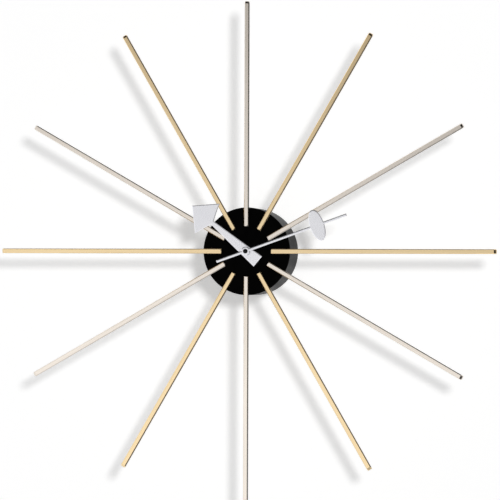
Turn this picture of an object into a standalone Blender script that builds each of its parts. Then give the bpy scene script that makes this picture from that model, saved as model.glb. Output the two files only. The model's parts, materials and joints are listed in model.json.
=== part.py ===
# Sunburst wall clock: twelve square rods on a black drum, two hands and a battery movement.
# Metres. World +Y points into the wall, +Z is 12 o'clock and the wall plane is Y = 0.
# Pieces hang on one empty that turns the drawing frame upright, so in the code below
# x is to the right, y is up and z is the height off the wall, towards the viewer.
import math

import bmesh
import bpy
from mathutils import Matrix, Vector

# Fits
GAP = 0.0003
RUN_GAP = 0.0002
WELD = 0.000001
ROUND_STEPS = 60
MEDIUM_STEPS = 20
SMALL_STEPS = 16
PIN_STEPS = 10
SHARP_ANGLE = math.radians(35)

# Drum
DRUM_RADIUS = 0.0535
DRUM_DEPTH = 0.068
DRUM_WALL = 0.002
FACE_THICKNESS = 0.003
RIM_ROUND = 0.0008

# Rods and the screws that hold them from inside the drum
ROD_COUNT = 12
ROD_TIP_RADIUS = 0.305
ROD_INNER_RADIUS = 0.0304
ROD_WIDTH = 0.0058
ROD_HEIGHT = 0.0058
ROD_SEAT_DEPTH = 0.001
ROD_TIP_CHAMFER = 0.003
ROD_EDGE = 0.0006
ROD_SCREW_RADIUS = 0.00125
ROD_SCREW_GRIP = 0.003
ROD_SCREW_HEAD_RADIUS = 0.0024
ROD_SCREW_HEAD_HEIGHT = 0.0016

# Hands, with their angles clockwise from 12 o'clock
HAND_THICKNESS = 0.001
HAND_CLEARANCE = 0.0012
COLLET_HEIGHT = 0.0012
COLLET_WALL = 0.0013
HOUR_ANGLE = 309.8
HOUR_LENGTH = 0.0865
HOUR_HEAD_AT = 0.0622
HOUR_HEAD_WIDTH = 0.047
HOUR_NECK_AT = 0.054
HOUR_NECK_WIDTH = 0.005
HOUR_TAIL_LENGTH = 0.0194
HOUR_TAIL_WIDTH = 0.016
MINUTE_ANGLE = 70.3
MINUTE_LENGTH = 0.1315
MINUTE_TAIL_LENGTH = 0.0378
MINUTE_WIDTH = 0.0032
MINUTE_OVAL_AT = 0.0933
MINUTE_OVAL_LENGTH = 0.0177
MINUTE_OVAL_WIDTH = 0.039
MINUTE_BOSS_RADIUS = 0.0053
CAP_RADIUS = 0.0028
CAP_HEIGHT = 0.0024

# Centre arbor, the hour tube round it and the threaded neck round both
ARBOR_RADIUS = 0.0015
ARBOR_TIP_RADIUS = 0.0011
ARBOR_TAIL_RADIUS = 0.0008
TUBE_WALL = 0.0008
NECK_WALL = 0.0011
NECK_NUT_RADIUS = 0.0062
NECK_NUT_THICKNESS = 0.002
WASHER_RADIUS = 0.0062
WASHER_THICKNESS = 0.0005
RUBBER_RADIUS = 0.009
RUBBER_THICKNESS = 0.001

# Gear train, from the rotor to the hands
TRAIN_MODULE = 0.00025
PINION_TEETH = 8
INTERMEDIATE_TEETH = 48
SECONDS_TEETH = 40
THIRD_TEETH = 60
CENTRE_TEETH = 64
CANNON_TEETH = 12
MOTION_TEETH = 36
MOTION_PINION_TEETH = 10
HOUR_TEETH = 40
SETTING_TEETH = 12
TOOTH_ADDENDUM = 0.8
TOOTH_DEDENDUM = 1.1
TOOTH_TIP = 0.52
WHEEL_TOOTH_ROOT = 1.5
PINION_TOOTH_ROOT = 1.1
WHEEL_THICKNESS = 0.0013
LAYER_PITCH = 0.0022
LAYER_CLEARANCE = 0.00065
PIVOT_RADIUS = 0.0005
PIVOT_DEPTH = 0.0007
WHEEL_CLEARANCE = 0.0005
MOTION_CLEARANCE = 0.0009
THIRD_BEARING = 115
SECONDS_BEARING = 160
INTERMEDIATE_BEARING = 200
ROTOR_BEARING = 110
MOTION_BEARING = 215
SETTING_BEARING = 190

# Step motor
MAGNET_RADIUS = 0.0024
MAGNET_OVERHANG = 0.0006
STATOR_GAP = 0.0004
STATOR_RIM = 0.0015
STATOR_THICKNESS = 0.001
STATOR_BAR_WIDTH = 0.0012
STATOR_TAB_WIDTH = 0.003
STATOR_POST_RADIUS = 0.0011
CORE_SIZE = 0.002
COIL_RADIUS = 0.0032
COIL_FLANGE_RADIUS = 0.0035
COIL_FLANGE_THICKNESS = 0.0008
COIL_BORE_RADIUS = 0.0018
COIL_END_GAP = 0.0008

# Movement housing
CASE_WALL = 0.0015
CASE_LEDGE = 0.0008
CASE_CORNER = 0.002
PLATE_THICKNESS = 0.0012
COVER_THICKNESS = 0.0015
KNOB_RADIUS = 0.005
KNOB_HEIGHT = 0.005
KNOB_RIBS = 24
KNOB_RIB_DEPTH = 0.0003
KNOB_STANDOFF = 0.0008
SETTING_SHAFT_RADIUS = 0.001
SETTING_SHAFT_GRIP = 0.0035

# Battery and what it feeds
BATTERY_RADIUS = 0.00725
BATTERY_LENGTH = 0.0505
BATTERY_NUB_RADIUS = 0.00275
BATTERY_NUB_HEIGHT = 0.0013
BATTERY_EDGE = 0.0006
BAY_SIDE_GAP = 0.0005
CONTACT_THICKNESS = 0.0004
CONTACT_WIDTH = 0.008
CONTACT_HEIGHT = 0.011
CONTACT_BULGE = 0.0005
BOARD_WIDTH = 0.03
BOARD_HEIGHT = 0.011
BOARD_THICKNESS = 0.001
CHIP_RADIUS = 0.003
CHIP_TOP_RADIUS = 0.0021
CHIP_HEIGHT = 0.0012
CRYSTAL_RADIUS = 0.001
CRYSTAL_LENGTH = 0.006

# Hanger across the open back
STRIP_WIDTH = 0.018
STRIP_THICKNESS = 0.0025
STRIP_END = 0.0065
KEYHOLE_AT = 0.015
KEYHOLE_RADIUS = 0.00475
KEYHOLE_SLOT_WIDTH = 0.005
KEYHOLE_SLOT_RISE = 0.0085
PILLAR_RADIUS = 0.003
PILLAR_SCREW_RADIUS = 0.0015
PILLAR_SCREW_HEAD_RADIUS = 0.0032
PILLAR_SCREW_RIM = 0.0003
PILLAR_SCREW_GRIP = 0.006

# Heights off the wall, from the face of the drum
face_back = DRUM_DEPTH - FACE_THICKNESS
rod_back = DRUM_DEPTH - ROD_SEAT_DEPTH + GAP
rod_front = rod_back + ROD_HEIGHT
washer_back = DRUM_DEPTH + GAP
nut_back = washer_back + WASHER_THICKNESS + GAP
neck_front = nut_back + NECK_NUT_THICKNESS + GAP
hour_hand_back = max(rod_front + HAND_CLEARANCE, neck_front + COLLET_HEIGHT + GAP)
hour_tube_front = hour_hand_back + HAND_THICKNESS + GAP
minute_hand_back = hour_hand_back + HAND_THICKNESS + max(HAND_CLEARANCE, COLLET_HEIGHT + 2 * GAP)
cap_back = minute_hand_back + HAND_THICKNESS + GAP
arbor_front = cap_back + CAP_HEIGHT / 2

# Heights inside the movement, which hangs from the face by its neck
rubber_back = face_back - GAP - RUBBER_THICKNESS
case_front = rubber_back - GAP
case_floor = case_front - CASE_WALL


def layer(number):
    """Middle height of a gear layer, counted back from the hour wheel's."""
    return case_floor - LAYER_CLEARANCE - WHEEL_THICKNESS / 2 - number * LAYER_PITCH


HOUR_LAYER, MOTION_LAYER, CENTRE_LAYER, THIRD_LAYER, SECONDS_LAYER, INTERMEDIATE_LAYER = range(6)
plate_front = layer(INTERMEDIATE_LAYER) - WHEEL_THICKNESS / 2 - LAYER_CLEARANCE
plate_back = plate_front - PLATE_THICKNESS
cover_front = plate_back - GAP
case_back = cover_front - COVER_THICKNESS
stator_back = layer(SECONDS_LAYER) + WHEEL_THICKNESS / 2 + LAYER_CLEARANCE
stator_front = stator_back + STATOR_THICKNESS
coil_height = stator_front + GAP + CORE_SIZE / 2


def tip_radius(teeth, module):
    return teeth * module / 2 + TOOTH_ADDENDUM * module


def mesh_distance(module, teeth, other_teeth):
    return module * (teeth + other_teeth) / 2


def spot_from(spot, distance, bearing):
    turn = math.radians(bearing)
    return spot + distance * Vector((math.cos(turn), math.sin(turn)))


# Modules that follow the train's: each arbor has to pass clear of the next wheel
intermediate_tip = tip_radius(INTERMEDIATE_TEETH, TRAIN_MODULE)
seconds_module = 2 * (intermediate_tip + PIVOT_RADIUS + WHEEL_CLEARANCE) / (SECONDS_TEETH + PINION_TEETH)
centre_tip = tip_radius(CENTRE_TEETH, TRAIN_MODULE)
motion_distance = centre_tip + PIVOT_RADIUS + MOTION_CLEARANCE
motion_module = 2 * motion_distance / (CANNON_TEETH + MOTION_TEETH)
hour_module = 2 * motion_distance / (MOTION_PINION_TEETH + HOUR_TEETH)

# Arbor places in plan
centre_spot = Vector((0, 0))
third_distance = mesh_distance(TRAIN_MODULE, CENTRE_TEETH, PINION_TEETH)
third_spot = spot_from(centre_spot, third_distance, THIRD_BEARING)
seconds_distance = mesh_distance(TRAIN_MODULE, THIRD_TEETH, PINION_TEETH)
seconds_spot = spot_from(third_spot, seconds_distance, SECONDS_BEARING)
intermediate_distance = mesh_distance(seconds_module, SECONDS_TEETH, PINION_TEETH)
intermediate_spot = spot_from(seconds_spot, intermediate_distance, INTERMEDIATE_BEARING)
rotor_distance = mesh_distance(TRAIN_MODULE, INTERMEDIATE_TEETH, PINION_TEETH)
rotor_spot = spot_from(intermediate_spot, rotor_distance, ROTOR_BEARING)
motion_spot = spot_from(centre_spot, motion_distance, MOTION_BEARING)
setting_distance = mesh_distance(motion_module, MOTION_TEETH, SETTING_TEETH)
setting_spot = spot_from(motion_spot, setting_distance, SETTING_BEARING)

# Step motor in plan: the stator's bar runs above the wheels and the coil above the bar
third_top = third_spot.y + tip_radius(THIRD_TEETH, TRAIN_MODULE)
seconds_top = seconds_spot.y + tip_radius(SECONDS_TEETH, seconds_module)
stator_hole_radius = MAGNET_RADIUS + STATOR_GAP
stator_ring_radius = stator_hole_radius + STATOR_RIM
stator_bar_bottom = third_top + WHEEL_CLEARANCE
stator_bar_top = stator_bar_bottom + STATOR_BAR_WIDTH
coil_at = max(stator_bar_top, seconds_top) + COIL_FLANGE_RADIUS + WHEEL_CLEARANCE
cavity_left = min(
    rotor_spot.x - stator_ring_radius,
    intermediate_spot.x - tip_radius(INTERMEDIATE_TEETH, TRAIN_MODULE),
) - WHEEL_CLEARANCE
cavity_right = centre_tip + LAYER_CLEARANCE
stator_left = cavity_left + WHEEL_CLEARANCE
stator_right = cavity_right - CASE_WALL
coil_left = rotor_spot.x + stator_ring_radius + COIL_END_GAP
coil_right = stator_right - STATOR_TAB_WIDTH - COIL_END_GAP
coil_length = coil_right - coil_left

# Movement housing in plan: train compartment on the left, battery bay on the right
rebate_left = cavity_left - CASE_LEDGE
rebate_right = cavity_right + CASE_LEDGE
bay_left = rebate_right + CASE_WALL
bay_right = bay_left + 2 * (BATTERY_RADIUS + BAY_SIDE_GAP)
bay_middle = (bay_left + bay_right) / 2
contact_depth = CONTACT_THICKNESS + CONTACT_BULGE + 2 * GAP
bay_half_height = max(
    BATTERY_LENGTH / 2 + contact_depth,
    coil_at + COIL_FLANGE_RADIUS + WHEEL_CLEARANCE + CASE_LEDGE,
)
cavity_half_height = bay_half_height - CASE_LEDGE
case_left = rebate_left - CASE_WALL
case_right = bay_right + CASE_WALL
case_half_height = bay_half_height + CASE_WALL
battery_height = case_floor - GAP - BATTERY_RADIUS

# Centre bores, each from the one inside it
tube_bore = ARBOR_RADIUS + GAP
tube_radius = tube_bore + TUBE_WALL
neck_bore = tube_radius + GAP
neck_radius = neck_bore + NECK_WALL

# Hanger in plan: the pillars stand between the movement and the rod screws
rod_screw_circle = (ROD_INNER_RADIUS + DRUM_RADIUS) / 2
pillar_at = (case_half_height + rod_screw_circle - ROD_SCREW_HEAD_RADIUS) / 2
pillar_back = STRIP_THICKNESS + GAP
pillar_front = face_back - GAP

FINISHES = {
    "black_enamel": ((0.012, 0.012, 0.013), 0.35, 0.0),
    "brass": ((0.83, 0.64, 0.35), 0.28, 1.0),
    "aluminium": ((0.80, 0.76, 0.72), 0.30, 1.0),
    "hand_metal": ((0.78, 0.78, 0.83), 0.40, 1.0),
    "black_metal": ((0.015, 0.015, 0.016), 0.25, 0.6),
    "steel": ((0.56, 0.56, 0.57), 0.35, 1.0),
    "black_plastic": ((0.02, 0.02, 0.022), 0.50, 0.0),
    "white_plastic": ((0.82, 0.81, 0.77), 0.45, 0.0),
    "rubber": ((0.03, 0.03, 0.03), 0.80, 0.0),
    "copper": ((0.72, 0.33, 0.17), 0.35, 1.0),
    "board_green": ((0.03, 0.16, 0.07), 0.45, 0.0),
    "battery_wrap": ((0.10, 0.10, 0.11), 0.35, 0.2),
    "magnet": ((0.12, 0.12, 0.13), 0.45, 0.8),
}


def clear_scene():
    for old in list(bpy.data.objects):
        bpy.data.objects.remove(old, do_unlink=True)


def add_collection(name, parent):
    collection = bpy.data.collections.new(name)
    parent.children.link(collection)
    return collection


def add_finishes():
    made = {}
    for name, (colour, roughness, metallic) in FINISHES.items():
        material = bpy.data.materials.new(name)
        material.use_nodes = True
        shader = material.node_tree.nodes["Principled BSDF"]
        shader.inputs["Base Color"].default_value = (*colour, 1)
        shader.inputs["Roughness"].default_value = roughness
        shader.inputs["Metallic"].default_value = metallic
        made[name] = material
    return made


clear_scene()
parts = add_collection("sunburst_wall_clock", bpy.context.scene.collection)
cutters = add_collection("cutters", bpy.context.scene.collection)
rod_seats = add_collection("rod_seats", cutters)
rod_drills = add_collection("rod_drills", cutters)
pivot_drills = add_collection("pivot_drills", cutters)
materials = add_finishes()
upright = bpy.data.objects.new("upright", None)
upright.rotation_euler = (math.pi / 2, 0, 0)
parts.objects.link(upright)


def tidy_mesh(mesh):
    """Welds a mesh, points its faces outwards and shades its round sides smooth."""
    shape = bmesh.new()
    shape.from_mesh(mesh)
    bmesh.ops.remove_doubles(shape, verts=shape.verts, dist=WELD)
    bmesh.ops.recalc_face_normals(shape, faces=shape.faces)
    shape.to_mesh(mesh)
    shape.free()
    mesh.shade_smooth()
    mesh.set_sharp_from_angle(angle=SHARP_ANGLE)
    return mesh


def mesh_from(helper):
    """The evaluated shape of a curve or profile as a plain mesh. The helper is removed."""
    bpy.context.scene.collection.objects.link(helper)
    graph = bpy.context.evaluated_depsgraph_get()
    mesh = bpy.data.meshes.new_from_object(helper.evaluated_get(graph))
    bpy.data.objects.remove(helper, do_unlink=True)
    return tidy_mesh(mesh)


def prism(outlines, back, front):
    """Flat outlines, the first one the edge and the others holes, from height back to front."""
    curve = bpy.data.curves.new("outline", "CURVE")
    curve.dimensions = "2D"
    curve.fill_mode = "BOTH"
    curve.extrude = (front - back) / 2
    for outline in outlines:
        spline = curve.splines.new("POLY")
        spline.points.add(len(outline) - 1)
        spline.use_cyclic_u = True
        for point, (x, y) in zip(spline.points, outline):
            point.co = (x, y, 0, 1)
    mesh = mesh_from(bpy.data.objects.new("outline", curve))
    mesh.transform(Matrix.Translation((0, 0, (back + front) / 2)))
    return mesh


def turned(profile, closed=False, steps=SMALL_STEPS):
    """A profile of (radius, height) points turned about z. It runs down its outer side."""
    mesh = bpy.data.meshes.new("profile")
    edges = [(i, i + 1) for i in range(len(profile) - 1)]
    if closed:
        edges.append((len(profile) - 1, 0))
    mesh.from_pydata([(radius, 0, height) for radius, height in profile], edges, [])
    helper = bpy.data.objects.new("profile", mesh)
    screw = helper.modifiers.new("turn", "SCREW")
    screw.steps = steps
    screw.render_steps = steps
    screw.use_merge_vertices = True
    screw.merge_threshold = WELD
    return mesh_from(helper)


def rod_of(radius, back, front, steps=SMALL_STEPS):
    """A plain cylinder from height back to front."""
    return turned([(0, front), (radius, front), (radius, back), (0, back)], steps=steps)


def ring(inner, outer, back, front, steps=SMALL_STEPS):
    profile = [(inner, front), (outer, front), (outer, back), (inner, back)]
    return turned(profile, closed=True, steps=steps)


def block(low, high):
    """A box between two corners."""
    shape = bmesh.new()
    bmesh.ops.create_cube(shape, size=1)
    low, high = Vector(low), Vector(high)
    bmesh.ops.scale(shape, vec=high - low, verts=shape.verts)
    bmesh.ops.translate(shape, vec=(low + high) / 2, verts=shape.verts)
    mesh = bpy.data.meshes.new("block")
    shape.to_mesh(mesh)
    shape.free()
    return mesh


def add(name, mesh, collection, spot=(0, 0), height=0, turn=(0, 0, 0)):
    item = bpy.data.objects.new(name, mesh)
    item.parent = upright
    item.location = (spot[0], spot[1], height)
    item.rotation_euler = turn
    collection.objects.link(item)
    return item


def add_piece(name, finish, mesh, spot=(0, 0), height=0, turn=(0, 0, 0)):
    mesh.materials.append(materials[finish])
    return add(name, mesh, parts, spot, height, turn)


def add_cutter(name, mesh, collection=cutters, spot=(0, 0), height=0, turn=(0, 0, 0)):
    cutter = add(name, mesh, collection, spot, height, turn)
    cutter.hide_render = True
    cutter.display_type = "WIRE"
    return cutter


def shape_by(piece, operation, other):
    """Adds a Boolean by one cutter, or by a collection of cutters that don't meet."""
    boolean = piece.modifiers.new(other.name, "BOOLEAN")
    boolean.operation = operation
    boolean.solver = "EXACT"
    if isinstance(other, bpy.types.Collection):
        boolean.operand_type = "COLLECTION"
        boolean.collection = other
    else:
        boolean.object = other


def circle(radius, steps, middle=(0, 0)):
    turns = [2 * math.pi * i / steps for i in range(steps)]
    return [(middle[0] + radius * math.cos(t), middle[1] + radius * math.sin(t)) for t in turns]


def rounded_rectangle(left, right, bottom, top, corner, steps=4):
    middles = [
        (right - corner, top - corner),
        (left + corner, top - corner),
        (left + corner, bottom + corner),
        (right - corner, bottom + corner),
    ]
    points = []
    for quarter, (x, y) in enumerate(middles):
        for i in range(steps + 1):
            turn = (quarter + i / steps) * math.pi / 2
            points.append((x + corner * math.cos(turn), y + corner * math.sin(turn)))
    return points


# Drum: a turned cup, open at the back, with a seat milled in its face for each rod
def clockwise(hour):
    return (0, 0, -2 * math.pi * hour / ROD_COUNT)


def build_drum():
    inner = DRUM_RADIUS - DRUM_WALL
    hole = neck_radius + GAP
    round_steps = 2
    rim = []
    for i in range(round_steps + 1):
        turn = math.pi / 2 * (1 - i / round_steps)
        radius = DRUM_RADIUS - RIM_ROUND + RIM_ROUND * math.cos(turn)
        rim.append((radius, DRUM_DEPTH - RIM_ROUND + RIM_ROUND * math.sin(turn)))
    profile = [(hole, DRUM_DEPTH), *rim, (DRUM_RADIUS, 0), (inner, 0), (inner, face_back), (hole, face_back)]
    drum = add_piece("drum", "black_enamel", turned(profile, closed=True, steps=ROUND_STEPS))
    shape_by(drum, "DIFFERENCE", rod_seats)
    shape_by(drum, "DIFFERENCE", rod_drills)


def build_rods():
    half_seat = ROD_WIDTH / 2 + GAP
    past_rim = DRUM_RADIUS * 1.1
    drill_back = face_back - ROD_SCREW_HEAD_HEIGHT
    drill_front = rod_back + ROD_SCREW_GRIP + GAP
    side = [
        (ROD_INNER_RADIUS, rod_back),
        (ROD_TIP_RADIUS, rod_back),
        (ROD_TIP_RADIUS, rod_front - ROD_TIP_CHAMFER),
        (ROD_TIP_RADIUS - ROD_TIP_CHAMFER, rod_front),
        (ROD_INNER_RADIUS, rod_front),
    ]
    lay_radially = Matrix(((0, 0, 1, 0), (1, 0, 0, 0), (0, 1, 0, 0), (0, 0, 0, 1)))
    screw_seat = face_back - GAP
    screw_profile = [
        (0, rod_back + ROD_SCREW_GRIP),
        (ROD_SCREW_RADIUS, rod_back + ROD_SCREW_GRIP),
        (ROD_SCREW_RADIUS, screw_seat),
        (ROD_SCREW_HEAD_RADIUS, screw_seat),
        (ROD_SCREW_HEAD_RADIUS, screw_seat - ROD_SCREW_HEAD_HEIGHT),
        (0, screw_seat - ROD_SCREW_HEAD_HEIGHT),
    ]
    on_circle = Matrix.Translation((0, rod_screw_circle, 0))
    for hour in range(1, ROD_COUNT + 1):
        turn = clockwise(hour)
        seat = block(
            (-half_seat, ROD_INNER_RADIUS - GAP, rod_back - GAP),
            (half_seat, past_rim, rod_front),
        )
        add_cutter(f"rod_seat_{hour:02d}", seat, rod_seats, turn=turn)
        drill = rod_of(ROD_SCREW_RADIUS + RUN_GAP, drill_back, drill_front, steps=PIN_STEPS)
        drill.transform(on_circle)
        drill = add_cutter(f"rod_drill_{hour:02d}", drill, rod_drills, turn=turn)
        bar = prism([side], -ROD_WIDTH / 2, ROD_WIDTH / 2)
        bar.transform(lay_radially)
        rod = add_piece(f"rod_{hour:02d}", "brass" if hour % 2 else "aluminium", bar, turn=turn)
        edge = rod.modifiers.new("edges", "BEVEL")
        edge.width = ROD_EDGE
        edge.segments = 1
        shape_by(rod, "DIFFERENCE", drill)
        screw = turned(screw_profile, steps=PIN_STEPS)
        screw.transform(on_circle)
        add_piece(f"rod_screw_{hour:02d}", "steel", screw, turn=turn)


# Hands: sheet metal with a collet behind, which grips the hour tube or the centre arbor
def add_collet(hand, bore, plate_back):
    collet_back = plate_back - COLLET_HEIGHT
    collet = rod_of(bore + COLLET_WALL, collet_back, plate_back + HAND_THICKNESS / 2, steps=MEDIUM_STEPS)
    shape_by(hand, "UNION", add_cutter(hand.name + "_collet", collet))
    reach = HAND_THICKNESS
    cutter = rod_of(bore, collet_back - reach, plate_back + HAND_THICKNESS + reach, steps=MEDIUM_STEPS)
    shape_by(hand, "DIFFERENCE", add_cutter(hand.name + "_bore", cutter))


def mirrored(right_side):
    return right_side + [(-x, y) for x, y in reversed(right_side) if x]


def build_hour_hand():
    right_side = [
        (HOUR_TAIL_WIDTH / 2, -HOUR_TAIL_LENGTH),
        (HOUR_NECK_WIDTH / 2, HOUR_NECK_AT),
        (HOUR_HEAD_WIDTH / 2, HOUR_HEAD_AT),
        (0, HOUR_LENGTH),
    ]
    plate = prism([mirrored(right_side)], hour_hand_back, hour_hand_back + HAND_THICKNESS)
    hand = add_piece("hour_hand", "hand_metal", plate, turn=(0, 0, -math.radians(HOUR_ANGLE)))
    add_collet(hand, tube_radius + RUN_GAP, hour_hand_back)


def bulge(middle, half_width, half_length, stick, steps):
    """The right side of an oval on a stick, from where it leaves the stick to where it rejoins it."""
    start = math.acos(stick / half_width)
    points = []
    for i in range(steps + 1):
        turn = start * (2 * i / steps - 1)
        points.append((half_width * math.cos(turn), middle + half_length * math.sin(turn)))
    return points


def build_minute_hand():
    stick = MINUTE_WIDTH / 2
    boss = bulge(0, MINUTE_BOSS_RADIUS, MINUTE_BOSS_RADIUS, stick, 10)
    oval = bulge(MINUTE_OVAL_AT, MINUTE_OVAL_WIDTH / 2, MINUTE_OVAL_LENGTH / 2, stick, 20)
    right_side = [(stick, -MINUTE_TAIL_LENGTH), *boss, *oval, (stick, MINUTE_LENGTH)]
    plate = prism([mirrored(right_side)], minute_hand_back, minute_hand_back + HAND_THICKNESS)
    hand = add_piece("minute_hand", "hand_metal", plate, turn=(0, 0, -math.radians(MINUTE_ANGLE)))
    add_collet(hand, ARBOR_TIP_RADIUS + RUN_GAP, minute_hand_back)


def build_cap_nut():
    round_steps = 4
    dome = []
    for i in range(round_steps + 1):
        turn = math.pi / 2 * (1 - i / round_steps)
        dome.append((CAP_RADIUS * math.cos(turn), cap_back + CAP_HEIGHT * (0.4 + 0.6 * math.sin(turn))))
    dome[0] = (0, cap_back + CAP_HEIGHT)
    bore = ARBOR_TIP_RADIUS + RUN_GAP
    inside = [(CAP_RADIUS, cap_back), (bore, cap_back), (bore, arbor_front + GAP), (0, arbor_front + GAP)]
    add_piece("hand_cap_nut", "black_metal", turned(dome + inside))


# Neck nut and the two washers that clamp the movement to the drum's face
def build_neck_fixing():
    bore = neck_radius + GAP
    hexagon = circle(NECK_NUT_RADIUS, 6)
    nut = prism([hexagon, circle(bore, MEDIUM_STEPS)], nut_back, nut_back + NECK_NUT_THICKNESS)
    add_piece("neck_nut", "black_metal", nut)
    washer = ring(bore, WASHER_RADIUS, washer_back, washer_back + WASHER_THICKNESS, steps=MEDIUM_STEPS)
    add_piece("neck_washer", "black_metal", washer)
    rubber = ring(bore, RUBBER_RADIUS, rubber_back, rubber_back + RUBBER_THICKNESS, steps=MEDIUM_STEPS)
    add_piece("rubber_washer", "rubber", rubber)


# Gear train. A phase is the bearing of a tooth, in radians.
def gear(teeth, module, root_width, phase, back, front):
    root = teeth * module / 2 - TOOTH_DEDENDUM * module
    tip = tip_radius(teeth, module)
    half_root = root_width * module / 2 / root
    half_tip = TOOTH_TIP * module / 2 / tip
    corners = [(root, -half_root), (tip, -half_tip), (tip, half_tip), (root, half_root)]
    points = []
    for tooth in range(teeth):
        middle = phase + 2 * math.pi * tooth / teeth
        for radius, offset in corners:
            points.append((radius * math.cos(middle + offset), radius * math.sin(middle + offset)))
    return prism([points], back, front)


def meshed_phase(spot, teeth, phase, other_spot, other_teeth):
    """Phase of the second gear whose gap faces the first gear's tooth on their line of centres."""
    line = other_spot - spot
    bearing = math.atan2(line.y, line.x)
    pitches = (bearing - phase) * teeth / (2 * math.pi)
    return bearing + math.pi - (0.5 - pitches) * 2 * math.pi / other_teeth


def wheel(teeth, module, number, phase):
    middle = layer(number)
    half = WHEEL_THICKNESS / 2
    return gear(teeth, module, WHEEL_TOOTH_ROOT, phase, middle - half, middle + half)


def pinion(teeth, module, number, phase):
    """A pinion of the layer that starts inside the wheel one layer behind it."""
    front = layer(number) + WHEEL_THICKNESS / 2 + RUN_GAP
    return gear(teeth, module, PINION_TOOTH_ROOT, phase, layer(number + 1), front)


def lone_pinion(teeth, module, number, phase):
    """A pinion with no wheel behind it."""
    half = WHEEL_THICKNESS / 2 + RUN_GAP
    return gear(teeth, module, PINION_TOOTH_ROOT, phase, layer(number) - half, layer(number) + half)


def pivot_drill(name, spot, radius, back, front):
    drill = rod_of(radius + RUN_GAP, back, front, steps=PIN_STEPS)
    return add_cutter(name, drill, pivot_drills, spot)


def add_train_piece(name, finish, spot, shapes):
    """One moulded piece: the first mesh with the others joined to it, on its own arbor."""
    piece = add_piece(name, finish, shapes[0], spot)
    for number, shape in enumerate(shapes[1:], start=1):
        shape_by(piece, "UNION", add_cutter(f"{name}_{number}", shape, cutters, spot))
    return piece


arbor_back = plate_back + RUN_GAP
pivot_front = case_floor + PIVOT_DEPTH


def plain_arbor():
    return rod_of(PIVOT_RADIUS, arbor_back, pivot_front, steps=PIN_STEPS)


def build_reduction_train():
    drill_back = plate_back - PLATE_THICKNESS
    drill_front = pivot_front + RUN_GAP
    stages = [
        ("third_wheel", third_spot, THIRD_TEETH, TRAIN_MODULE, THIRD_LAYER),
        ("seconds_wheel", seconds_spot, SECONDS_TEETH, seconds_module, SECONDS_LAYER),
        ("intermediate_wheel", intermediate_spot, INTERMEDIATE_TEETH, TRAIN_MODULE, INTERMEDIATE_LAYER),
    ]
    driver = (centre_spot, CENTRE_TEETH, TRAIN_MODULE)
    for name, spot, teeth, module, number in stages:
        driver_spot, driver_teeth, driver_module = driver
        phase = meshed_phase(driver_spot, driver_teeth, 0, spot, PINION_TEETH)
        shapes = [
            wheel(teeth, module, number, 0),
            pinion(PINION_TEETH, driver_module, number - 1, phase),
            plain_arbor(),
        ]
        add_train_piece(name, "white_plastic", spot, shapes)
        pivot_drill(name + "_pivot", spot, PIVOT_RADIUS, drill_back, drill_front)
        driver = (spot, teeth, module)
    driver_spot, driver_teeth, driver_module = driver
    phase = meshed_phase(driver_spot, driver_teeth, 0, rotor_spot, PINION_TEETH)
    magnet_back = stator_back - MAGNET_OVERHANG
    magnet = rod_of(MAGNET_RADIUS, magnet_back, stator_front + MAGNET_OVERHANG, steps=MEDIUM_STEPS)
    rotor_pinion = lone_pinion(PINION_TEETH, driver_module, INTERMEDIATE_LAYER, phase)
    add_train_piece("rotor", "magnet", rotor_spot, [magnet, rotor_pinion, plain_arbor()])
    pivot_drill("rotor_pivot", rotor_spot, PIVOT_RADIUS, drill_back, drill_front)


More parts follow.
